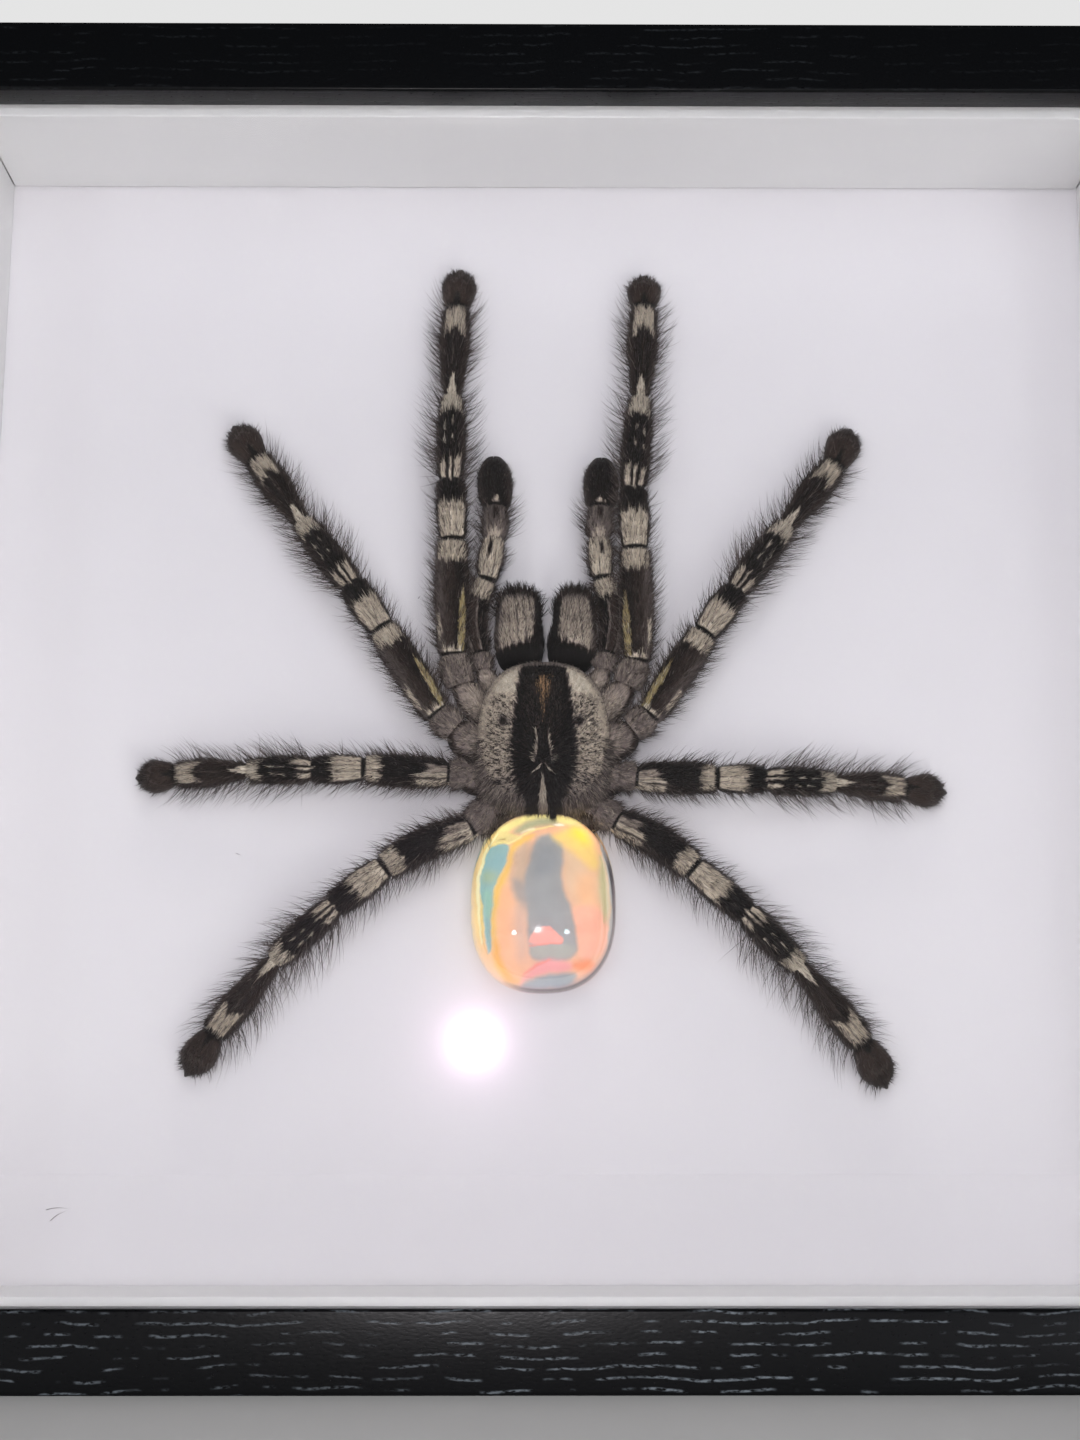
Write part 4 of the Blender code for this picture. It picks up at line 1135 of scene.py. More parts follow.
class FRAMED_OT_body(bpy.types.Operator):
    """Builds the carapace, the coxae round it, the eyes and their short fur"""
    bl_idname = "framed.body"
    bl_label = "Carapace and Coxae"

    def execute(self, context):
        rng = np.random.default_rng(RNG_SEED + 1)
        cuticle = furred_skin("carapace_cuticle", 1.2, 0.3, 0.4)
        nap = fur("carapace_nap")
        width = context.scene.framed_spider.nap_width / MM
        self.shell(cuticle)
        self.short_fur(rng, width, nap)
        self.skirt(rng, width, nap)
        self.coxae(rng, width, cuticle, nap)
        self.eyes()
        return {"FINISHED"}

    @staticmethod
    def shell(cuticle):
        """The carapace's skin: an egg whose upper half is fuller and has the relief."""
        grid = egg(CARAPACE, 170, 300)
        x, y, z = split(grid)
        full, _ = egg_top(x, y, CARAPACE, CARAPACE_FULLNESS)
        z = np.where(z > 0, full, z)
        z = z + carapace_relief(x, y) * rise(z, 0, 1.5)
        share = rust_share(x, y)[..., None]
        coat = coat_colour(carapace_tones(x, y)) * (1 - share) + linear(COAT[-1][1]) * share
        turn = np.linspace(0, 2 * math.pi, grid.shape[1], endpoint=False)[None]
        skin("carapace_skin", on_board(xyz(x, y, z), *CARAPACE_PLACE), cuticle, "carapace_fur",
             "cephalothorax", coat=coat, lay=xyz(np.hypot(x, y), turn * 6.0))

    def short_fur(self, rng, width, nap):
        """The short nap all over, the black band's longer fur, the pale lines and the rim."""
        x, y = egg_scatter(CARAPACE, NAP_TRIES, rng)
        count = len(x)
        tones = np.clip(carapace_tones(x, y) + rng.normal(0, 0.04, count), 0.01, 0.88)
        brown = 0.5 * within(np.abs(x), 0.5, 3.4, 1.2) * within(y, 2.0, 13.5, 3.0)
        tones = np.where((rng.random(count) < brown) & (tones < 0.15), 0.33, tones)
        tones = np.where(rng.random(count) < rust_share(x, y), RUST, tones)
        self.comb("carapace_nap", x, y, rng, rng.uniform(0.3, 0.6, count), width, tones, 1, nap)
        x, y = egg_scatter(CARAPACE, BAND_TRIES, rng)
        dark = (carapace_tones(x, y) < 0.12) & (rust_share(x, y) < 0.3)
        x, y = x[dark], y[dark]
        count = len(x)
        lengths, brown = rng.uniform(0.9, 1.9, count), rng.random(count) < 0.12
        tones = np.clip(np.where(brown, 0.3, rng.normal(0.04, 0.03, count)), 0, 0.4)
        self.comb("band_fur", x, y, rng, lengths, width, tones, 2, nap)
        for name, tries, reach, thick, range_of_tones in (
                ("pale_whiskers", LINE_TRIES, (0.6, 1.4), 0.9, (0.55, 0.88)),
                ("rim_fringe", RIM_TRIES, (0.5, 1.2), 0.8, (0.35, 0.65))):
            x, y = egg_scatter(CARAPACE, tries, rng)
            if name == "rim_fringe":
                kept = rho(x, y, CARAPACE) > 0.93
            else:
                kept = sum(stroke(x, y, points, 0.5) for points in PALE_LINES) > 0.5
            x, y = x[kept], y[kept]
            self.comb(name, x, y, rng, rng.uniform(*reach, len(x)), width * thick,
                      rng.uniform(*range_of_tones, len(x)), 2, nap)

    @staticmethod
    def comb(name, x, y, rng, lengths, width, tones, joints, finish):
        """Hairs on the carapace, combed outwards from the pit behind its middle."""
        count = len(x)
        roots, normal = carapace_top(x, y)
        outward = unit(xyz(x, (y - FOVEA_Y) * 0.7, 0))
        flat = outward - normal * np.einsum("ij,ij->i", outward, normal)[:, None]
        ways = unit(flat) + normal * rng.uniform(0.1, 0.45, count)[:, None]
        ways = ways + rng.normal(0, 0.25, (count, 3))
        hairs(name, "carapace_fur", finish, joints, on_board(roots, *CARAPACE_PLACE),
              to_frame(ways), to_frame(-normal) * 0.12, lengths,
              width * rng.uniform(0.75, 1.2, count), tones)

    @staticmethod
    def skirt(rng, width, finish):
        """Shaggy hairs that hang from the carapace's rear rim over the waist, longer away from
        the middle.
        """
        turn = rng.normal(0, 0.85, SKIRT_TRIES)
        turn = turn[np.abs(turn) < 1.75]
        count = len(turn)
        rear_rim = CARAPACE._replace(front=CARAPACE.rear)    # also for hairs ahead of its middle
        far = rng.uniform(0.86, 1.0, count) * spread(turn - math.pi / 2, rear_rim)
        x, y = np.sin(turn) * far, -np.cos(turn) * far
        z, _ = egg_top(x, y, CARAPACE, CARAPACE_FULLNESS)
        ways = (xyz(np.sin(turn) * 0.8, -np.cos(turn) - 0.2, -0.1)
                + rng.normal(0, 0.28, (count, 3)))
        lengths = rng.uniform(0.7, 1.25, count) * np.interp(
            np.abs(np.sin(turn)), (0, 0.35, 0.8, 1), (1.3, 1.7, 3.0, 2.0))
        tones = np.clip(rng.normal(0.42, 0.13, count), 0.1, 0.66)
        tones = np.where(np.abs(x) < 3.4, rng.uniform(0, 0.2, count), tones)
        tones = np.where(np.abs(x) < 0.8, rng.uniform(0.5, 0.72, count), tones)
        hairs("rear_skirt", "carapace_fur", finish, 3,
              on_board(xyz(x, y, z - 0.1), *CARAPACE_PLACE), to_frame(ways),
              to_frame(np.tile([0, 0, -0.55], (count, 1))), lengths,
              width * rng.uniform(0.8, 1.3, count), tones)

    def coxae(self, rng, width, cuticle, nap):
        """The coxae, the body's underside between them and the furry waist before the stone."""
        lumps = [("underbody", Egg(13.5, 15.0, 13.0, 3.2, 3.0, 2.2), (BODY_X, 116.0, 4.2, 0),
                  0.0, 0.27, 3, 1.2),
                 ("waist", Egg(13.0, 5.4, 5.0, 1.6, 1.4, 2.2), (BODY_X, 103.6, 2.2, 180),
                  0.0, 0.44, 16, 2.2)]
        for name, (inner, outer, radius, tone) in COXAE.items():
            for side, sign in (("left", -1), ("right", 1)):
                start = np.array([BODY_X + inner[0] * sign, inner[1]])
                end = np.array([BODY_X + outer[0] * sign, outer[1]])
                middle, step = (start + end) / 2, end - start
                half = np.linalg.norm(step) / 2 + radius * 0.5
                shape = Egg(radius * 1.02, half, half, radius * 0.82, radius * 0.9, 2.3)
                place = (*middle, COXA_HEIGHT, math.degrees(math.atan2(step[0], step[1])))
                lumps.append(("coxa_%s_%s" % (name, side), shape, place, COXA_TILT, tone, 9, 1.4))
        strands = [self.lump(*lump, rng, cuticle) for lump in lumps]
        roots, ways, bends, lengths, tones = (np.concatenate(part) for part in zip(*strands))
        hairs("coxa_nap", "carapace_fur", nap, 2, roots, ways, bends, lengths,
              width * rng.uniform(0.7, 1.2, len(roots)), tones)

    @staticmethod
    def lump(name, shape, place, tilt, tone, density, length, rng, cuticle):
        """An oval body, paler on top in painted light and dark round its foot in painted shade.
        Gives back the hairs that point forwards over it and fan out a little.
        """
        x, y, z = split(egg(shape, 60, 80))
        far = rho(x, y, shape)
        tones = tone + 0.07 * ripple(y * 2.6 + x * 1.8, 4)
        # Painted highlight on top and painted shade round the foot
        tones = over(tones + 0.15 * (1 - far), tone * 0.4, rise(far, 0.72, 0.2))
        z = z + tilt * (y / shape.front - 0.6)
        skin(name, on_board(xyz(x, y, z), *place), cuticle, "carapace_fur",
             coat=coat_colour(tones), lay=xyz(y, np.arctan2(z, x) * shape.half_width))
        count = int(shape.front * shape.half_width * math.pi * density)
        x, y = egg_scatter(shape, count, rng)
        z, normal = egg_top(x, y, shape)
        far = rho(x, y, shape)
        way = xyz(x / shape.half_width * 0.5, 1, 0)
        way = way + normal * rng.uniform(0.2, 0.9, count)[:, None] + rng.normal(0, 0.3, (count, 3))
        # The hairs take the same painted highlight on top and painted shade round the foot
        tones = tone + 0.15 * (1 - far) - 0.15 * rise(far, 0.72, 0.2) + rng.normal(0, 0.1, count)
        lengths = length * rng.uniform(0.5, 1.2, count) * (1 + 0.5 * rise(far, 0.6, 0.4))
        local = xyz(x, y, z + tilt * (y / shape.front - 0.6))
        return (on_board(local, *place), to_frame(way, place[3]),
                -to_frame(normal, place[3]) * 0.2, lengths, np.clip(tones, 0.04, 0.72))

    @staticmethod
    def eyes():
        """Eight glossy beads on the tubercle."""
        finish, *_ = new_finish("eye_lens", Base_Color=rgba(linear("#060505")), Roughness=0.06,
                                Coat_Weight=0.6)
        for side, sign in (("left", -1), ("right", 1)):
            for number, (x, y, radius) in enumerate(EYES, start=1):
                foot, _ = carapace_top(np.array([x * sign]), np.array([y]))
                bead = Egg(radius, radius * 1.1, radius * 1.1, radius * 0.8, radius * 0.8, 2.0)
                points = egg(bead, 14, 20) + foot[0] + [0, 0, radius * 0.25]
                skin("eye_%s_%d" % (side, number), on_board(points, *CARAPACE_PLACE), finish,
                     "carapace_fur")


class FRAMED_OT_jaws(bpy.types.Operator):
    """Builds the two chelicerae with fur combed over their rounded tops"""
    bl_idname = "framed.jaws"
    bl_label = "Chelicerae"

    def execute(self, context):
        width = context.scene.framed_spider.nap_width / MM
        rng = np.random.default_rng(RNG_SEED + 2)
        cuticle = furred_skin("jaw_cuticle", 1.6, 0.2, 0.45)
        nap = fur("jaw_fur", 0.5)
        for side, sign in (("left", -1), ("right", 1)):
            across, bearing, taper = JAW_PLACES[side]
            place = (across, JAW_Z, JAW_HEIGHT, bearing)
            grid = egg(JAW, 90, 130)
            x, y, _ = split(grid)
            skin("chelicera_%s_skin" % side, on_board(self.shaped(grid, sign, taper), *place),
                 cuticle, "chelicera_fur", "chelicera_" + side,
                 coat=coat_colour(self.tones(x * sign, y, sign)), lay=xyz(y, x))
            x, y = egg_scatter(JAW, JAW_TRIES, rng)
            edge = rise(rho(x, y, JAW), 0.76, 0.18) * rise(y, -1, 4)
            kept = (np.arange(len(x)) < JAW_NAP) | (edge > 0.3)
            x, y, edge = x[kept], y[kept], edge[kept]
            count = len(x)
            z, normal = egg_top(x, y, JAW)
            tones = self.tones(x * sign, y, sign) + rng.normal(0, 0.08, count)
            tones = np.clip(over(tones, rng.uniform(0.03, 0.32, count), edge), 0.01, 0.86)
            tones = np.where(rng.random(count) < 0.14, tones * 0.4, tones)
            ways = (xyz(x * 0.05 + sign * 0.12, 1, 0)
                    + normal * rng.uniform(0.12, 0.45, count)[:, None]
                    + rng.normal(0, 1, (count, 3)) * (0.13 + 0.12 * edge)[:, None])
            crest = (edge > 0.4) & (rng.random(count) < 0.4)
            ways = ways + ([0, 0, -0.3] + rng.normal(0, 0.25, (count, 3))) * crest[:, None]
            lengths = rng.uniform(0.9, 1.9, count) * np.where(crest, 2.4, 1)
            widths = width * rng.uniform(0.75, 1.2, count) * np.where(crest, 1.6, 1)
            hairs("chelicera_%s_fur" % side, "chelicera_fur", nap, 2,
                  on_board(self.shaped(xyz(x, y, z), sign, taper), *place),
                  to_frame(ways, bearing), to_frame(-normal, bearing) * 0.2, lengths, widths,
                  tones)
        return {"FINISHED"}

    @staticmethod
    def shaped(points, sign, taper):
        """Widens a jaw towards its base on the inner side, narrows it towards its tip, and
        lowers its base under the carapace's rim.
        """
        x, y, z = split(points)
        inner = np.clip(-x * sign / JAW.half_width, 0, 1)
        narrow = 1 - taper * np.clip((y + 5) / 11, 0, 1)
        return xyz(x * narrow - sign * inner * rise(-y, 0, 7.5) * 0.5, y,
                   z - 4.4 * rise(-y, 4.2, 3.4))

    @staticmethod
    def tones(out, y, sign):
        """Black at the base and the inner edge, tan-grey streaks between, dark outside."""
        comb = ripple(out * 4.2 + sign * y * 0.5 + ripple(y * 1.1, 4) * 0.9, 3 + sign)
        tone = 0.63 + 0.05 * ripple(out * 11 + y, 6) - 0.25 * rise(comb, 0.25, 0.3)
        tone = tone + 0.05 * rise(-y, 0, 4) - 0.36 * rise(y, 3.0, 2.4)
        base = 1 - rise(y + 0.5 * ripple(out * 5, 5) + 0.22 * out, -4.9, 1.0)
        inner = 1 - rise(out + 0.10 * y, -3.6, 0.7)
        for mask, dark in ((rise(out, 3.2, 1.0), 0.30), (inner, 0.06), (base, 0.04)):
            tone = tone * (1 - mask) + dark * mask
        return tone


# ---------------- stone
STONE = Egg(13.9, 19.2, 16.1, 8.6, 2.8, 2.4)
STONE_PLACE = (BODY_X, 84.9, 3.5)
STONE_LEAN = 0.11
FILM_DEPTH = 0.9                # how far the film lies within the dome, all round
STONE_GROUND = "#F6C6A6"
# Zones of one colour, whose outlines are (x, y) points, and threads, whose paths are
# (x, y, width) points. The number is how soft the edge is
STONE_LAYERS = (
    ("#FFE39C", 2, ((-14.5, 15), (-9, 19), (-7, 10), (-9, -2), (-10, -14), (-14.5, -10))),
    ("#FFD3A2", 2, ((-11.5, -4), (-8.5, -10), (-4, -12.5), (-6, -16), (-13, -11))),
    ("#FFCBA4", 2.2, ((-9.4, 2), (-6.6, 5), (-4, -2), (-3.4, -12), (-7, -14), (-9.2, -6))),
    ("#D8C0AA", 1.6, ((-6.2, 11.5), (-2, 13), (-3, 6), (-3.4, -4), (-5.6, 0), (-6.6, 5))),
    ("#E6CBAE", 2, ((3.6, 13), (7, 10.5), (10, 6.5), (10.5, 0.5), (6, -1), (3.8, 4))),
    ("#F8CDA6", 1.8, ((6.4, 6), (10.6, 6.8), (11, 0), (6.6, -1))),
    ("#B9B2AC", 1, ((-6.2, 5.6), (-3.6, 4.4), (-2.6, 0.2), (-3, -1.4), (-4.8, 0.2), (-6, 3))),
    ("#DCC2B2", 2.4, ((-5.6, 0), (-3.4, -1), (-3, -10), (-5, -10.6), (-6, -5))),
    ("#ADB0B0", 0.7, (
        (-1.4, 13.4), (1.4, 14.4), (4.2, 12.6), (3.7, 8.6), (3.5, 6.4), (4.2, 2), (5.6, -0.8),
        (6.4, -4.2), (6.7, -7.4), (6.4, -10.2), (1, -11.2), (-2.8, -10.4), (-3.2, -5.6),
        (-3.1, -1.2), (-3.8, 2), (-3.8, 5.8), (-2.5, 9.6))),
    ("#A2A6A9", 1.8, ((-1.6, 12.6), (1.4, 13.4), (3.6, 11.6), (3, 6), (-2.6, 5.4))),
    ("#FFE190", 1.2, (
        (1.4, 13.6), (3.6, 15), (7, 15.6), (9.2, 14), (10.4, 11.6), (11, 8.2), (10.2, 6.8),
        (8.4, 8), (6.2, 10.2), (3.8, 12.2))),
    ("#FFE95E", 2, ((5.2, 15.6), (8.2, 15.6), (9.4, 12.6), (7, 12.4))),
    ("#D2CDA9", 0.9, ((11.2, 10.8), (12.4, 9), (13.2, 2), (12.8, -4), (11.4, -2), (10.8, 4))),
    ("#FFC5AD", 0.8, (
        (5.8, -0.8), (8.4, 0.2), (11.2, -0.6), (12.6, -3), (12.4, -6.8), (10.6, -9.6),
        (8.4, -10.8), (7, -9.2), (6.9, -6.4), (6.4, -3))),
    ("#FFA67A", 1, ((5.8, -11.2), (8.4, -10.2), (10.4, -10.9), (9.2, -12.6), (5.6, -12.2))),
    ("#A3C9CE", 0.5, (
        (-10, 12.1), (-6.4, 12.3), (-7.1, 10.1), (-7.8, 7.3), (-9.2, 4.7), (-9.8, 3.3),
        (-9.9, 0.7), (-10.2, -1.9), (-10.2, -6.5), (-10.5, -9.3), (-11.2, -8.7), (-11.6, -3.6),
        (-11.9, -0.7), (-12.4, 2.1), (-12.6, 5), (-12.1, 8.1), (-11.2, 10.7))),
    ("#B9CFB6", 1.2, ((-12, 7.2), (-8.8, 6.4), (-9.8, 4.2), (-12.2, 4.8))),
    ("#A6D5C7", 1, ((-12, 3.2), (-10, 3.2), (-10.3, -2.6), (-11.5, -2.2))),
    ("#FFD479", 0.7, (
        (-6.2, 13), (-3.6, 13.8), (-1.4, 14.4), (-2.6, 13), (-5, 11.8), (-6.2, 10.1),
        (-6.6, 7.8), (-7, 5.8), (-8.1, 3.8), (-8.9, 1.5), (-9.5, -1.3), (-9.5, -4.2),
        (-9.4, -7), (-8.9, -9.9), (-7.5, -12.5), (-5.6, -14.2), (-7.5, -13.6), (-9.2, -11.3),
        (-9.9, -7.9), (-10.2, -4.2), (-10, -0.2), (-9.8, 2.7), (-8.7, 5), (-7.5, 7.5),
        (-6.8, 10.1))),
    ("#FFC069", 0.9, (
        (-9.4, -6), (-8.6, -10.2), (-6.6, -13.2), (-4.2, -14.2), (-6.6, -14.6), (-9.2, -11.4),
        (-9.9, -8))),
    ("#F7EDA9", 0.7, (
        (-9.8, 15.6), (-5, 18.4), (0, 19.2), (5, 18.6), (8.4, 16.6), (5, 16.2), (0, 17.4),
        (-5, 16.4), (-8.8, 13.6))),
    ("#BDBFA2", 0.8, (
        (-6.2, 14.9), (-3.8, 16.8), (-0.8, 17.7), (1.6, 17.7), (3.2, 16.8), (2, 16),
        (-1.4, 15.8), (-2.6, 15.2), (-4.8, 14.4))),
    ("#F4E3A4", 0.5, (
        (-10, 13.6), (-8.6, 15.4), (-6.6, 14.6), (-4.4, 13.8), (-2, 14.9), (-4.2, 13.4),
        (-6.6, 12.6), (-9.4, 12.4))),
    ("#B8BCB5", 0.7, ((-2.6, -7.6), (5.6, -7.2), (6.6, -9.8), (0, -10.6), (-2.6, -9.6))),
    ("#F9B8AC", 0.3, (
        (-3.3, -7.9), (-2.6, -5.9), (-0.9, -4.5), (0.8, -4.2), (2.5, -5), (4.3, -6.9),
        (3, -7.5))),
    ("#FBB5B4", 0.8, (
        (-1.4, -11.3), (1.4, -10.3), (5.6, -10.8), (5.6, -12.4), (1.4, -12.8), (-2.6, -13.9),
        (-4.8, -14.7), (-3.6, -13.4))),
    ("#A9B3B8", 0.6, (
        (-3.6, -14.2), (1.4, -13.1), (4.8, -12.6), (7, -13.3), (5, -14.9), (-0.3, -15.6),
        (-4.8, -15.3))),
    ("#FFF6C4", 0.3, (
        (-9.2, 14.4, 0.3), (-11.6, 10.6, 0.5), (-12.8, 6, 0.6), (-12.9, 1, 0.6),
        (-12.4, -3.6, 0.4), (-12, -7, 0.3))),
    ("#FFF2AE", 0.25, (
        (-9.9, 12.4, 0.25), (-6.6, 12.5, 0.4), (-4.2, 13.9, 0.35), (-2, 15, 0.35),
        (2, 15.9, 0.25))),
    # Two painted highlights: white spots where the top of the glass mirrors a lamp above
    ("#FFFEF4", 0.5, ((2, 16.2, 0.2), (3, 16.4, 0.6), (3.9, 16.2, 0.3))),
    ("#FFFCDC", 0.5, ((-4.4, 14.5, 0.2), (-2.9, 15.1, 0.5), (-1.9, 15.4, 0.3))),
    ("#AE8A50", 0.2, ((-9, 13, 0.1), (-7.7, 13.2, 0.2))),
    ("#C9C29B", 0.25, ((11.3, 10, 0.2), (12.1, 4, 0.25), (12, -3, 0.2))),
    ("#FF9F94", 0.4, ((-4, -13.2, 0.2), (-1.4, -11.6, 0.4), (1.4, -10.6, 0.25))),
    ("#FF9C92", 0.3, ((-3, -8, 0.2), (0.4, -7.7, 0.25), (3.6, -7.3, 0.2))),
    ("#C6CCC6", 0.5, ((-14.2, 6, 0.5), (-14.4, 0, 0.7), (-13.6, -7, 0.5))),
    ("#C4C9C4", 0.5, ((11.6, 12.6, 0.5), (13.4, 6, 0.9), (13.7, -1, 0.9), (12.6, -8, 0.7))),
)


def stone_colours(x, y, far):
    """Lays the zones and threads over the ground one after another, bent by a slow wave. Then
    it paints the film lighter towards the top and the edge as painted light, and paints a dark
    line with a soft grey shade along the lower right edge as painted shade. far is 1 on the edge.
    """
    # 1 on the lower right, where the painted edge shade goes
    shaded_side = rise(np.cos(np.arctan2(y, x) + 0.62), 0.02, 0.5)
    x = x + 0.22 * ripple(y * 0.8, 3)
    y = y + 0.22 * ripple(x * 0.7, 5)
    colour = np.broadcast_to(linear(STONE_GROUND), (*x.shape, 3))
    for code, soft, points in STONE_LAYERS:
        shape = patch if len(points[0]) == 2 else stroke
        mask = shape(x, y, points, soft * (0.9 if soft < 0.6 else 1.9))[..., None]
        colour = over(colour, linear(code), mask)
    # Painted light: lighter towards the top and towards the edge
    painted_brightening = 0.2 * rise(y, 9, 7) + 0.3 * rise(far, 0.8, 0.2)
    colour = colour * (1 + painted_brightening[..., None])
    # Painted shade: a soft grey shade and a dark line along the lower right edge
    for code, start, width, most in (("#8D8790", 0.93, 0.05, 0.5), ("#3C3A3C", 0.965, 0.015, 1)):
        mask = (most * shaded_side * rise(far, start, width))[..., None]
        colour = over(colour, linear(code), mask)
    return colour


def iridescent_film():
    """Fired metal-oxide film behind the glass: pastel bands with a pearly gloss. Its faint glow
    stands for the light that the clear glass gathers from the white board around it.
    """
    finish, add, feed = new_finish("iridescent_film", Roughness=0.5, Specular_IOR_Level=0.0,
                                   Emission_Strength=0.38)
    coat = add("Attribute", attribute_name="coat").outputs["Color"]
    place = add("TexCoord").outputs["Object"]
    cloud = add("TexNoise", {0: place, "Scale": 260.0, "Detail": 3.0})
    light = add("MapRange", {0: cloud, 1: 0.3, 2: 0.7, 3: 0.93, 4: 1.03})
    shaded = add("VectorMath", {0: coat, 3: light}, operation="SCALE")
    feed(Base_Color=shaded, Emission_Color=shaded)
    return finish


class FRAMED_OT_stone(bpy.types.Operator):
    """Builds the glass cabochon: a clear polished dome over an iridescent film"""
    bl_idname = "framed.stone"
    bl_label = "Glass Stone"

    def execute(self, context):
        settings = context.scene.framed_stone
        # Polished glass with a thin lustre: its hard coat mirrors lamps brightly
        glass, *_ = new_finish("cabochon_glass", Roughness=0.03, Transmission_Weight=1.0,
                               IOR=settings.ior, Thin_Film_Thickness=settings.film,
                               Thin_Film_IOR=1.33, Coat_Weight=1.0, Coat_Roughness=0.07,
                               Coat_IOR=1.95)
        dome = skin("cabochon_dome", self.leaned(egg(STONE, 90, 180)), glass,
                    "iridescent_glass", "glass_abdomen")
        dome.visible_shadow = False
        inner = Egg(STONE.half_width - FILM_DEPTH, STONE.front - FILM_DEPTH,
                    STONE.rear - FILM_DEPTH, STONE.up - 0.7, STONE.down - 0.6, STONE.power)
        grid = egg(inner, 200, 380)
        x, y, _ = split(grid)
        skin("cabochon_film", self.leaned(grid), iridescent_film(), "iridescent_glass",
             coat=stone_colours(x * STONE.half_width / inner.half_width, y * 1.035,
                                rho(x, y, inner)))
        return {"FINISHED"}

    @staticmethod
    def leaned(grid):
        """Sets the stone on the board and leans its top towards the rear, which leaves its
        foot flat.
        """
        x, y, z = split(grid)
        return on_board(xyz(x, y, z - STONE_LEAN * y * rise(z, 0, 4)), *STONE_PLACE)


# ---------------- small things on the board
TUFT_HAIRS = 90
CLAW_SIZE = 1.5
LOOSE_WIDTH = 0.14
# Loose hairs: across, up, length and bearing
LOOSE = ((-93.4, 29.0, 4.5, 70), (-92.5, 27.0, 3.6, 40), (-25.4, 146.9, 0.8, 20),
         (60.0, 60.0, 1.6, 130), (-60.0, 96.0, 1.2, 95))


class FRAMED_OT_oddments(bpy.types.Operator):
    """Adds the tuft above the stone, the claws and the loose hairs on the board"""
    bl_idname = "framed.oddments"
    bl_label = "Tuft, Claws and Loose Hairs"

    def execute(self, context):
        rng = np.random.default_rng(RNG_SEED + 3)
        finish = fur("dark_bristle", 0.4, 0.9, 1.1)
        count = TUFT_HAIRS
        roots = xyz(rng.normal(1.75, 0.4, count) + BODY_X,
                    BOARD_FACE_Y - 8.6 + rng.normal(0, 0.3, count),
                    rng.normal(103.6, 0.3, count))
        ways = xyz(rng.normal(0.0, 0.12, count), rng.normal(0.0, 0.15, count),
                   rng.normal(-1.0, 0.15, count))
        hairs("rear_tuft", "carapace_fur", finish, 3, roots, ways,
              np.tile([0, 0.1, -0.1], (count, 1)), rng.uniform(1.6, 2.5, count),
              rng.uniform(0.18, 0.26, count), rng.uniform(0, 0.08, count))

        claws = []
        for limb in LIMBS:
            course = limb_course(limb)
            tip, way, fore = course.middle[-2], course.tangent[-2], course.fore[-2]
            for sign in (-1, 1):
                claws.append((tip + fore * sign * 0.25 - way * 0.5, way - fore * sign * 0.1))
        roots, ways = (np.array(part) for part in zip(*claws))
        size = np.full(len(roots), CLAW_SIZE)
        hairs("claws", "banded_leg_fur", finish, 5, roots, ways,
              np.tile([0, 0.1, 0], (len(roots), 1)), size, size, np.full(len(roots), 0.2))

        across, up, lengths, bearings = np.array(LOOSE).T
        sin, cos = np.sin(np.radians(bearings)), np.cos(np.radians(bearings))
        hairs("loose_hairs", "banded_leg_fur", finish, 8, xyz(across, BOARD_FACE_Y - 0.12, up),
              xyz(sin, -0.03, cos), xyz(cos, 0, -sin) * 0.35, lengths,
              np.full(len(LOOSE), LOOSE_WIDTH), np.full(len(LOOSE), 0.3))
        return {"FINISHED"}


# ---------------- stage
FLOOR_REACH = 3000
CAMERA_PLACE = (-3.61, -383.67, 40.24)
CAMERA_WAY = (0.0057, 0.9793, 0.2021)
BOARD_MIDDLE = (0, BOARD_FACE_Y, 125)
FLASH_PLACE = (-22.2, -383.67, 76.7)
FLASH_TARGET = (-10, -16.85, 100)
FLASH_SIZE = 0.0145
# Place, diameter in metres, power beside the setting, and colour
SOFT_LAMPS = {
    "key": ((40, -330, 300), 0.22, 0.26, "#F6F8FF"),
    "left": ((-980, -1740, 10), 0.22, 1.45, "#F4F6FF"),
    "right": ((770, -1860, 10), 0.24, 1.5, "#F4F6FF"),
    "low": ((300, -640, -440), 0.6, 1.85, "#FFFFFF"),
    "top": ((60, -300, 900), 0.2, 0.6, "#FFFDF8"),
    "back": ((250, 900, 700), 0.8, 5, "#FFFFFF"),
}
MIRRORED = ("left", "right")    # the soft lamps whose reflections are seen


def aimed(name, data, place, way):
    """An object in the scene that looks from a place, in millimetres, along a direction."""
    holder = bpy.data.objects.new(name, data)
    holder.location = Vector(place) * MM
    holder.rotation_euler = Vector(way).to_track_quat("-Z", "Y").to_euler()
    bpy.context.scene.collection.objects.link(holder)
    return holder


def lamp(name, place, target, size, power, colour, glossy=True):
    """A round area lamp that shines from place at target."""
    data = bpy.data.lights.new(name, "AREA")
    data.shape = "DISK"
    data.size = size
    data.energy = power
    data.color = tuple(linear(colour))
    holder = aimed(name, data, place, Vector(target) - Vector(place))
    holder.visible_glossy = glossy
    holder.visible_transmission = glossy
    holder.visible_camera = False
    return holder


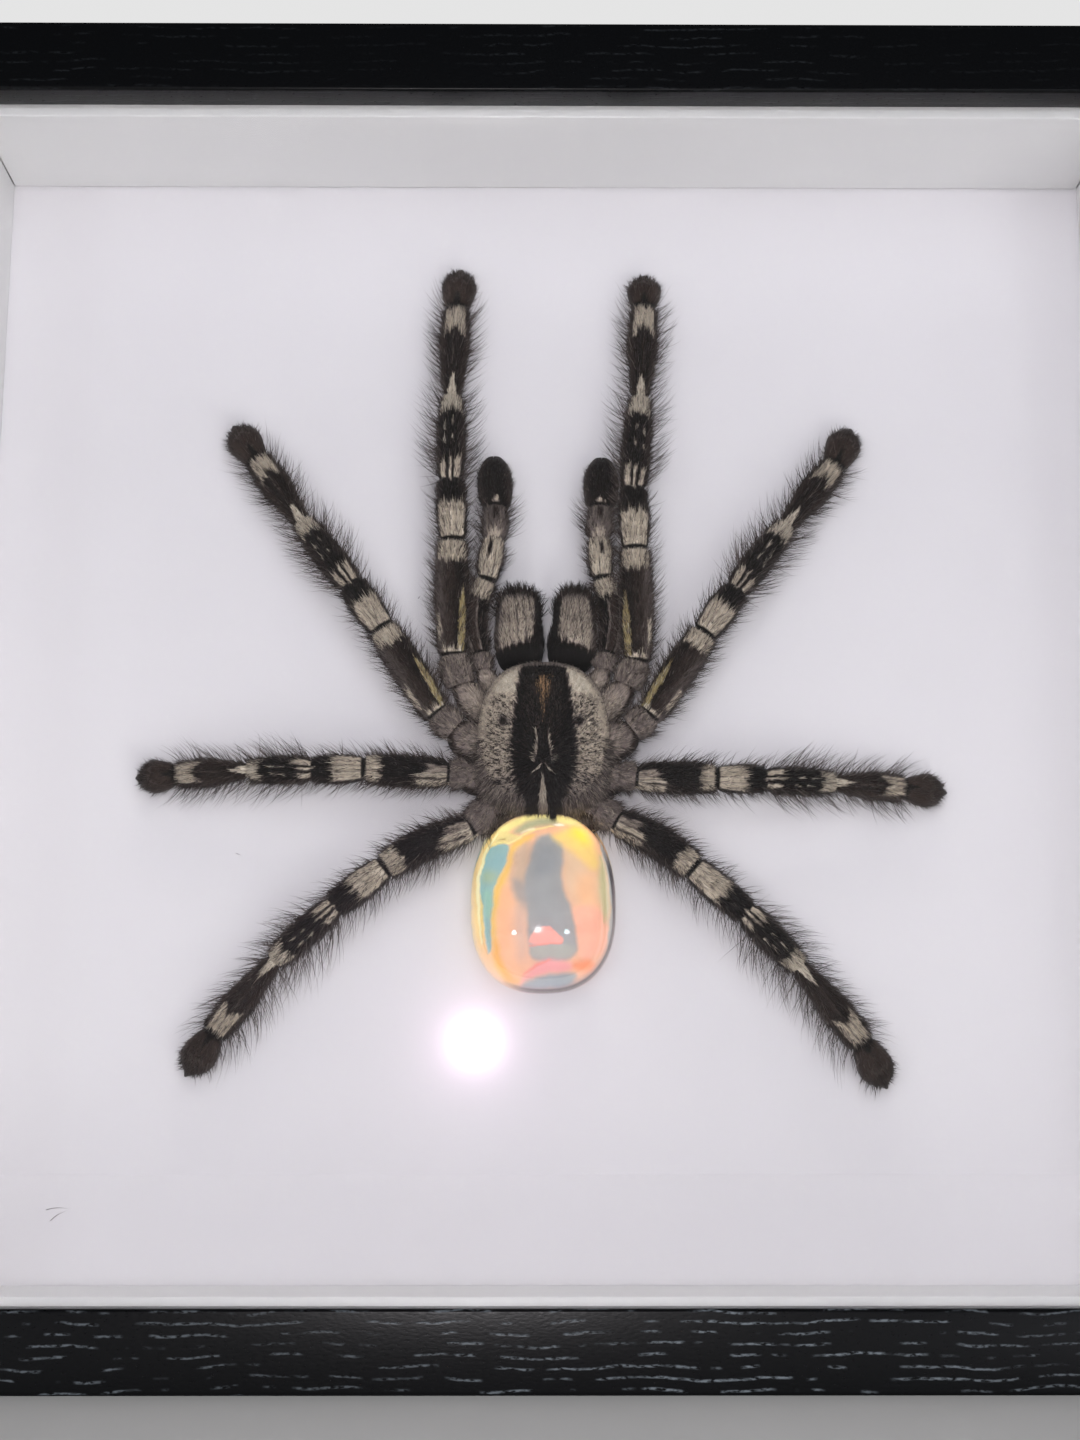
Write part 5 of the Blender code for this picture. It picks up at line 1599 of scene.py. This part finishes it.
class FRAMED_OT_stage(bpy.types.Operator):
    """Sets the pale floor, the soft lamps, the small lamp beside the camera and the camera"""
    bl_idname = "framed.stage"
    bl_label = "Stage"

    def execute(self, context):
        settings = context.scene.framed_stage
        scene = context.scene
        scene.view_settings.view_transform = "Standard"
        outline = np.array(((-1, -1, 0), (1, -1, 0), (1, 1, 0), (-1, 1, 0))) * FLOOR_REACH
        floor = put_mesh("floor", outline, range(4), [4], self.floor_finish(settings))
        floor.visible_shadow = False
        self.world(scene)
        flash = lamp("flash", FLASH_PLACE, FLASH_TARGET, FLASH_SIZE, settings.flash, "#FFFAFD")
        left_out = bpy.data.collections.new("flash_leaves_out")
        left_out.objects.link(floor)
        left_out.collection_objects[0].light_linking.link_state = "EXCLUDE"
        flash.light_linking.receiver_collection = left_out
        for name, (place, size, power, colour) in SOFT_LAMPS.items():
            lamp("soft_" + name, place, BOARD_MIDDLE, size, settings.soft * power, colour,
                 glossy=name in MIRRORED)
        camera = bpy.data.cameras.new("camera")
        camera.lens = settings.lens
        camera.clip_start = 0.01
        scene.camera = aimed("camera", camera, CAMERA_PLACE, CAMERA_WAY)
        self.glow(scene)
        return {"FINISHED"}

    @staticmethod
    def glow(scene):
        """A lens's soft bloom round the lamp's mirror image in the pane."""
        scene.use_nodes = True
        tree = scene.node_tree
        tree.nodes.clear()
        seen = node(tree, "CompositorNodeRLayers")
        bloom = node(tree, "CompositorNodeGlare", {
            "Image": seen, "Threshold": 3.0, "Strength": 0.35, "Size": 0.45,
            "Tint": (1.0, 0.72, 0.95, 1.0), "Maximum": 12.0}, glare_type="BLOOM")
        node(tree, "CompositorNodeComposite", {"Image": bloom})

    @staticmethod
    def floor_finish(settings):
        """Matt painted board: pale, with slow unevenness."""
        finish, add, feed = new_finish("pale_floor", Roughness=0.8)
        place = add("TexCoord").outputs["Object"]
        cloud = add("TexNoise", {0: place, "Scale": 9.0, "Detail": 4.0})
        colour = add("Mix", {0: cloud, 6: dimmed(settings.floor, 0.94),
                             7: rgba(settings.floor)}, data_type="RGBA")
        feed(Base_Color=colour.outputs[2])
        return finish

    @staticmethod
    def world(scene):
        """A pale backdrop to look at, and a dim room to light and to mirror."""
        scene.world = bpy.data.worlds.new("studio")
        scene.world.use_nodes = True
        tree = scene.world.node_tree
        rays = node(tree, "LightPath").outputs
        lit = node(tree, "MapRange", {0: rays["Is Diffuse Ray"], 3: 0.07, 4: 0.22})
        strength = node(tree, "MapRange", {0: rays["Is Camera Ray"], 3: lit, 4: 0.78})
        fill(tree.nodes["Background"], {"Color": (1, 1, 1, 1), "Strength": strength})


# ---------------- panel and running
GROUPS = (("framed_frame", FrameSettings), ("framed_spider", SpiderSettings),
          ("framed_stone", StoneSettings), ("framed_stage", StageSettings))
OPERATORS = (FRAMED_OT_rails, FRAMED_OT_liner, FRAMED_OT_sheets, FRAMED_OT_limbs,
             FRAMED_OT_body, FRAMED_OT_jaws, FRAMED_OT_stone, FRAMED_OT_oddments,
             FRAMED_OT_stage)


class FRAMED_PT_panel(bpy.types.Panel):
    """Lists the pieces and their settings"""
    bl_idname = "FRAMED_PT_panel"
    bl_label = "Framed Tarantula"
    bl_space_type = "VIEW_3D"
    bl_region_type = "UI"
    bl_category = "Framed Tarantula"

    def draw(self, context):
        layout = self.layout
        for operator in OPERATORS:
            layout.operator(operator.bl_idname)
        for name, group in GROUPS:
            box = layout.box()
            for setting in group.__annotations__:
                box.prop(getattr(context.scene, name), setting)


def register():
    for name, group in GROUPS:
        bpy.utils.register_class(group)
        setattr(bpy.types.Scene, name, bpy.props.PointerProperty(type=group))
    for operator in OPERATORS:
        bpy.utils.register_class(operator)
    bpy.utils.register_class(FRAMED_PT_panel)


def unregister():
    bpy.utils.unregister_class(FRAMED_PT_panel)
    for operator in reversed(OPERATORS):
        bpy.utils.unregister_class(operator)
    for name, group in reversed(GROUPS):
        delattr(bpy.types.Scene, name)
        bpy.utils.unregister_class(group)


def main():
    """Builds everything in order."""
    register()
    for operator in OPERATORS:
        getattr(bpy.ops.framed, operator.bl_idname.split(".")[1])()


if __name__ == "__main__":
    main()
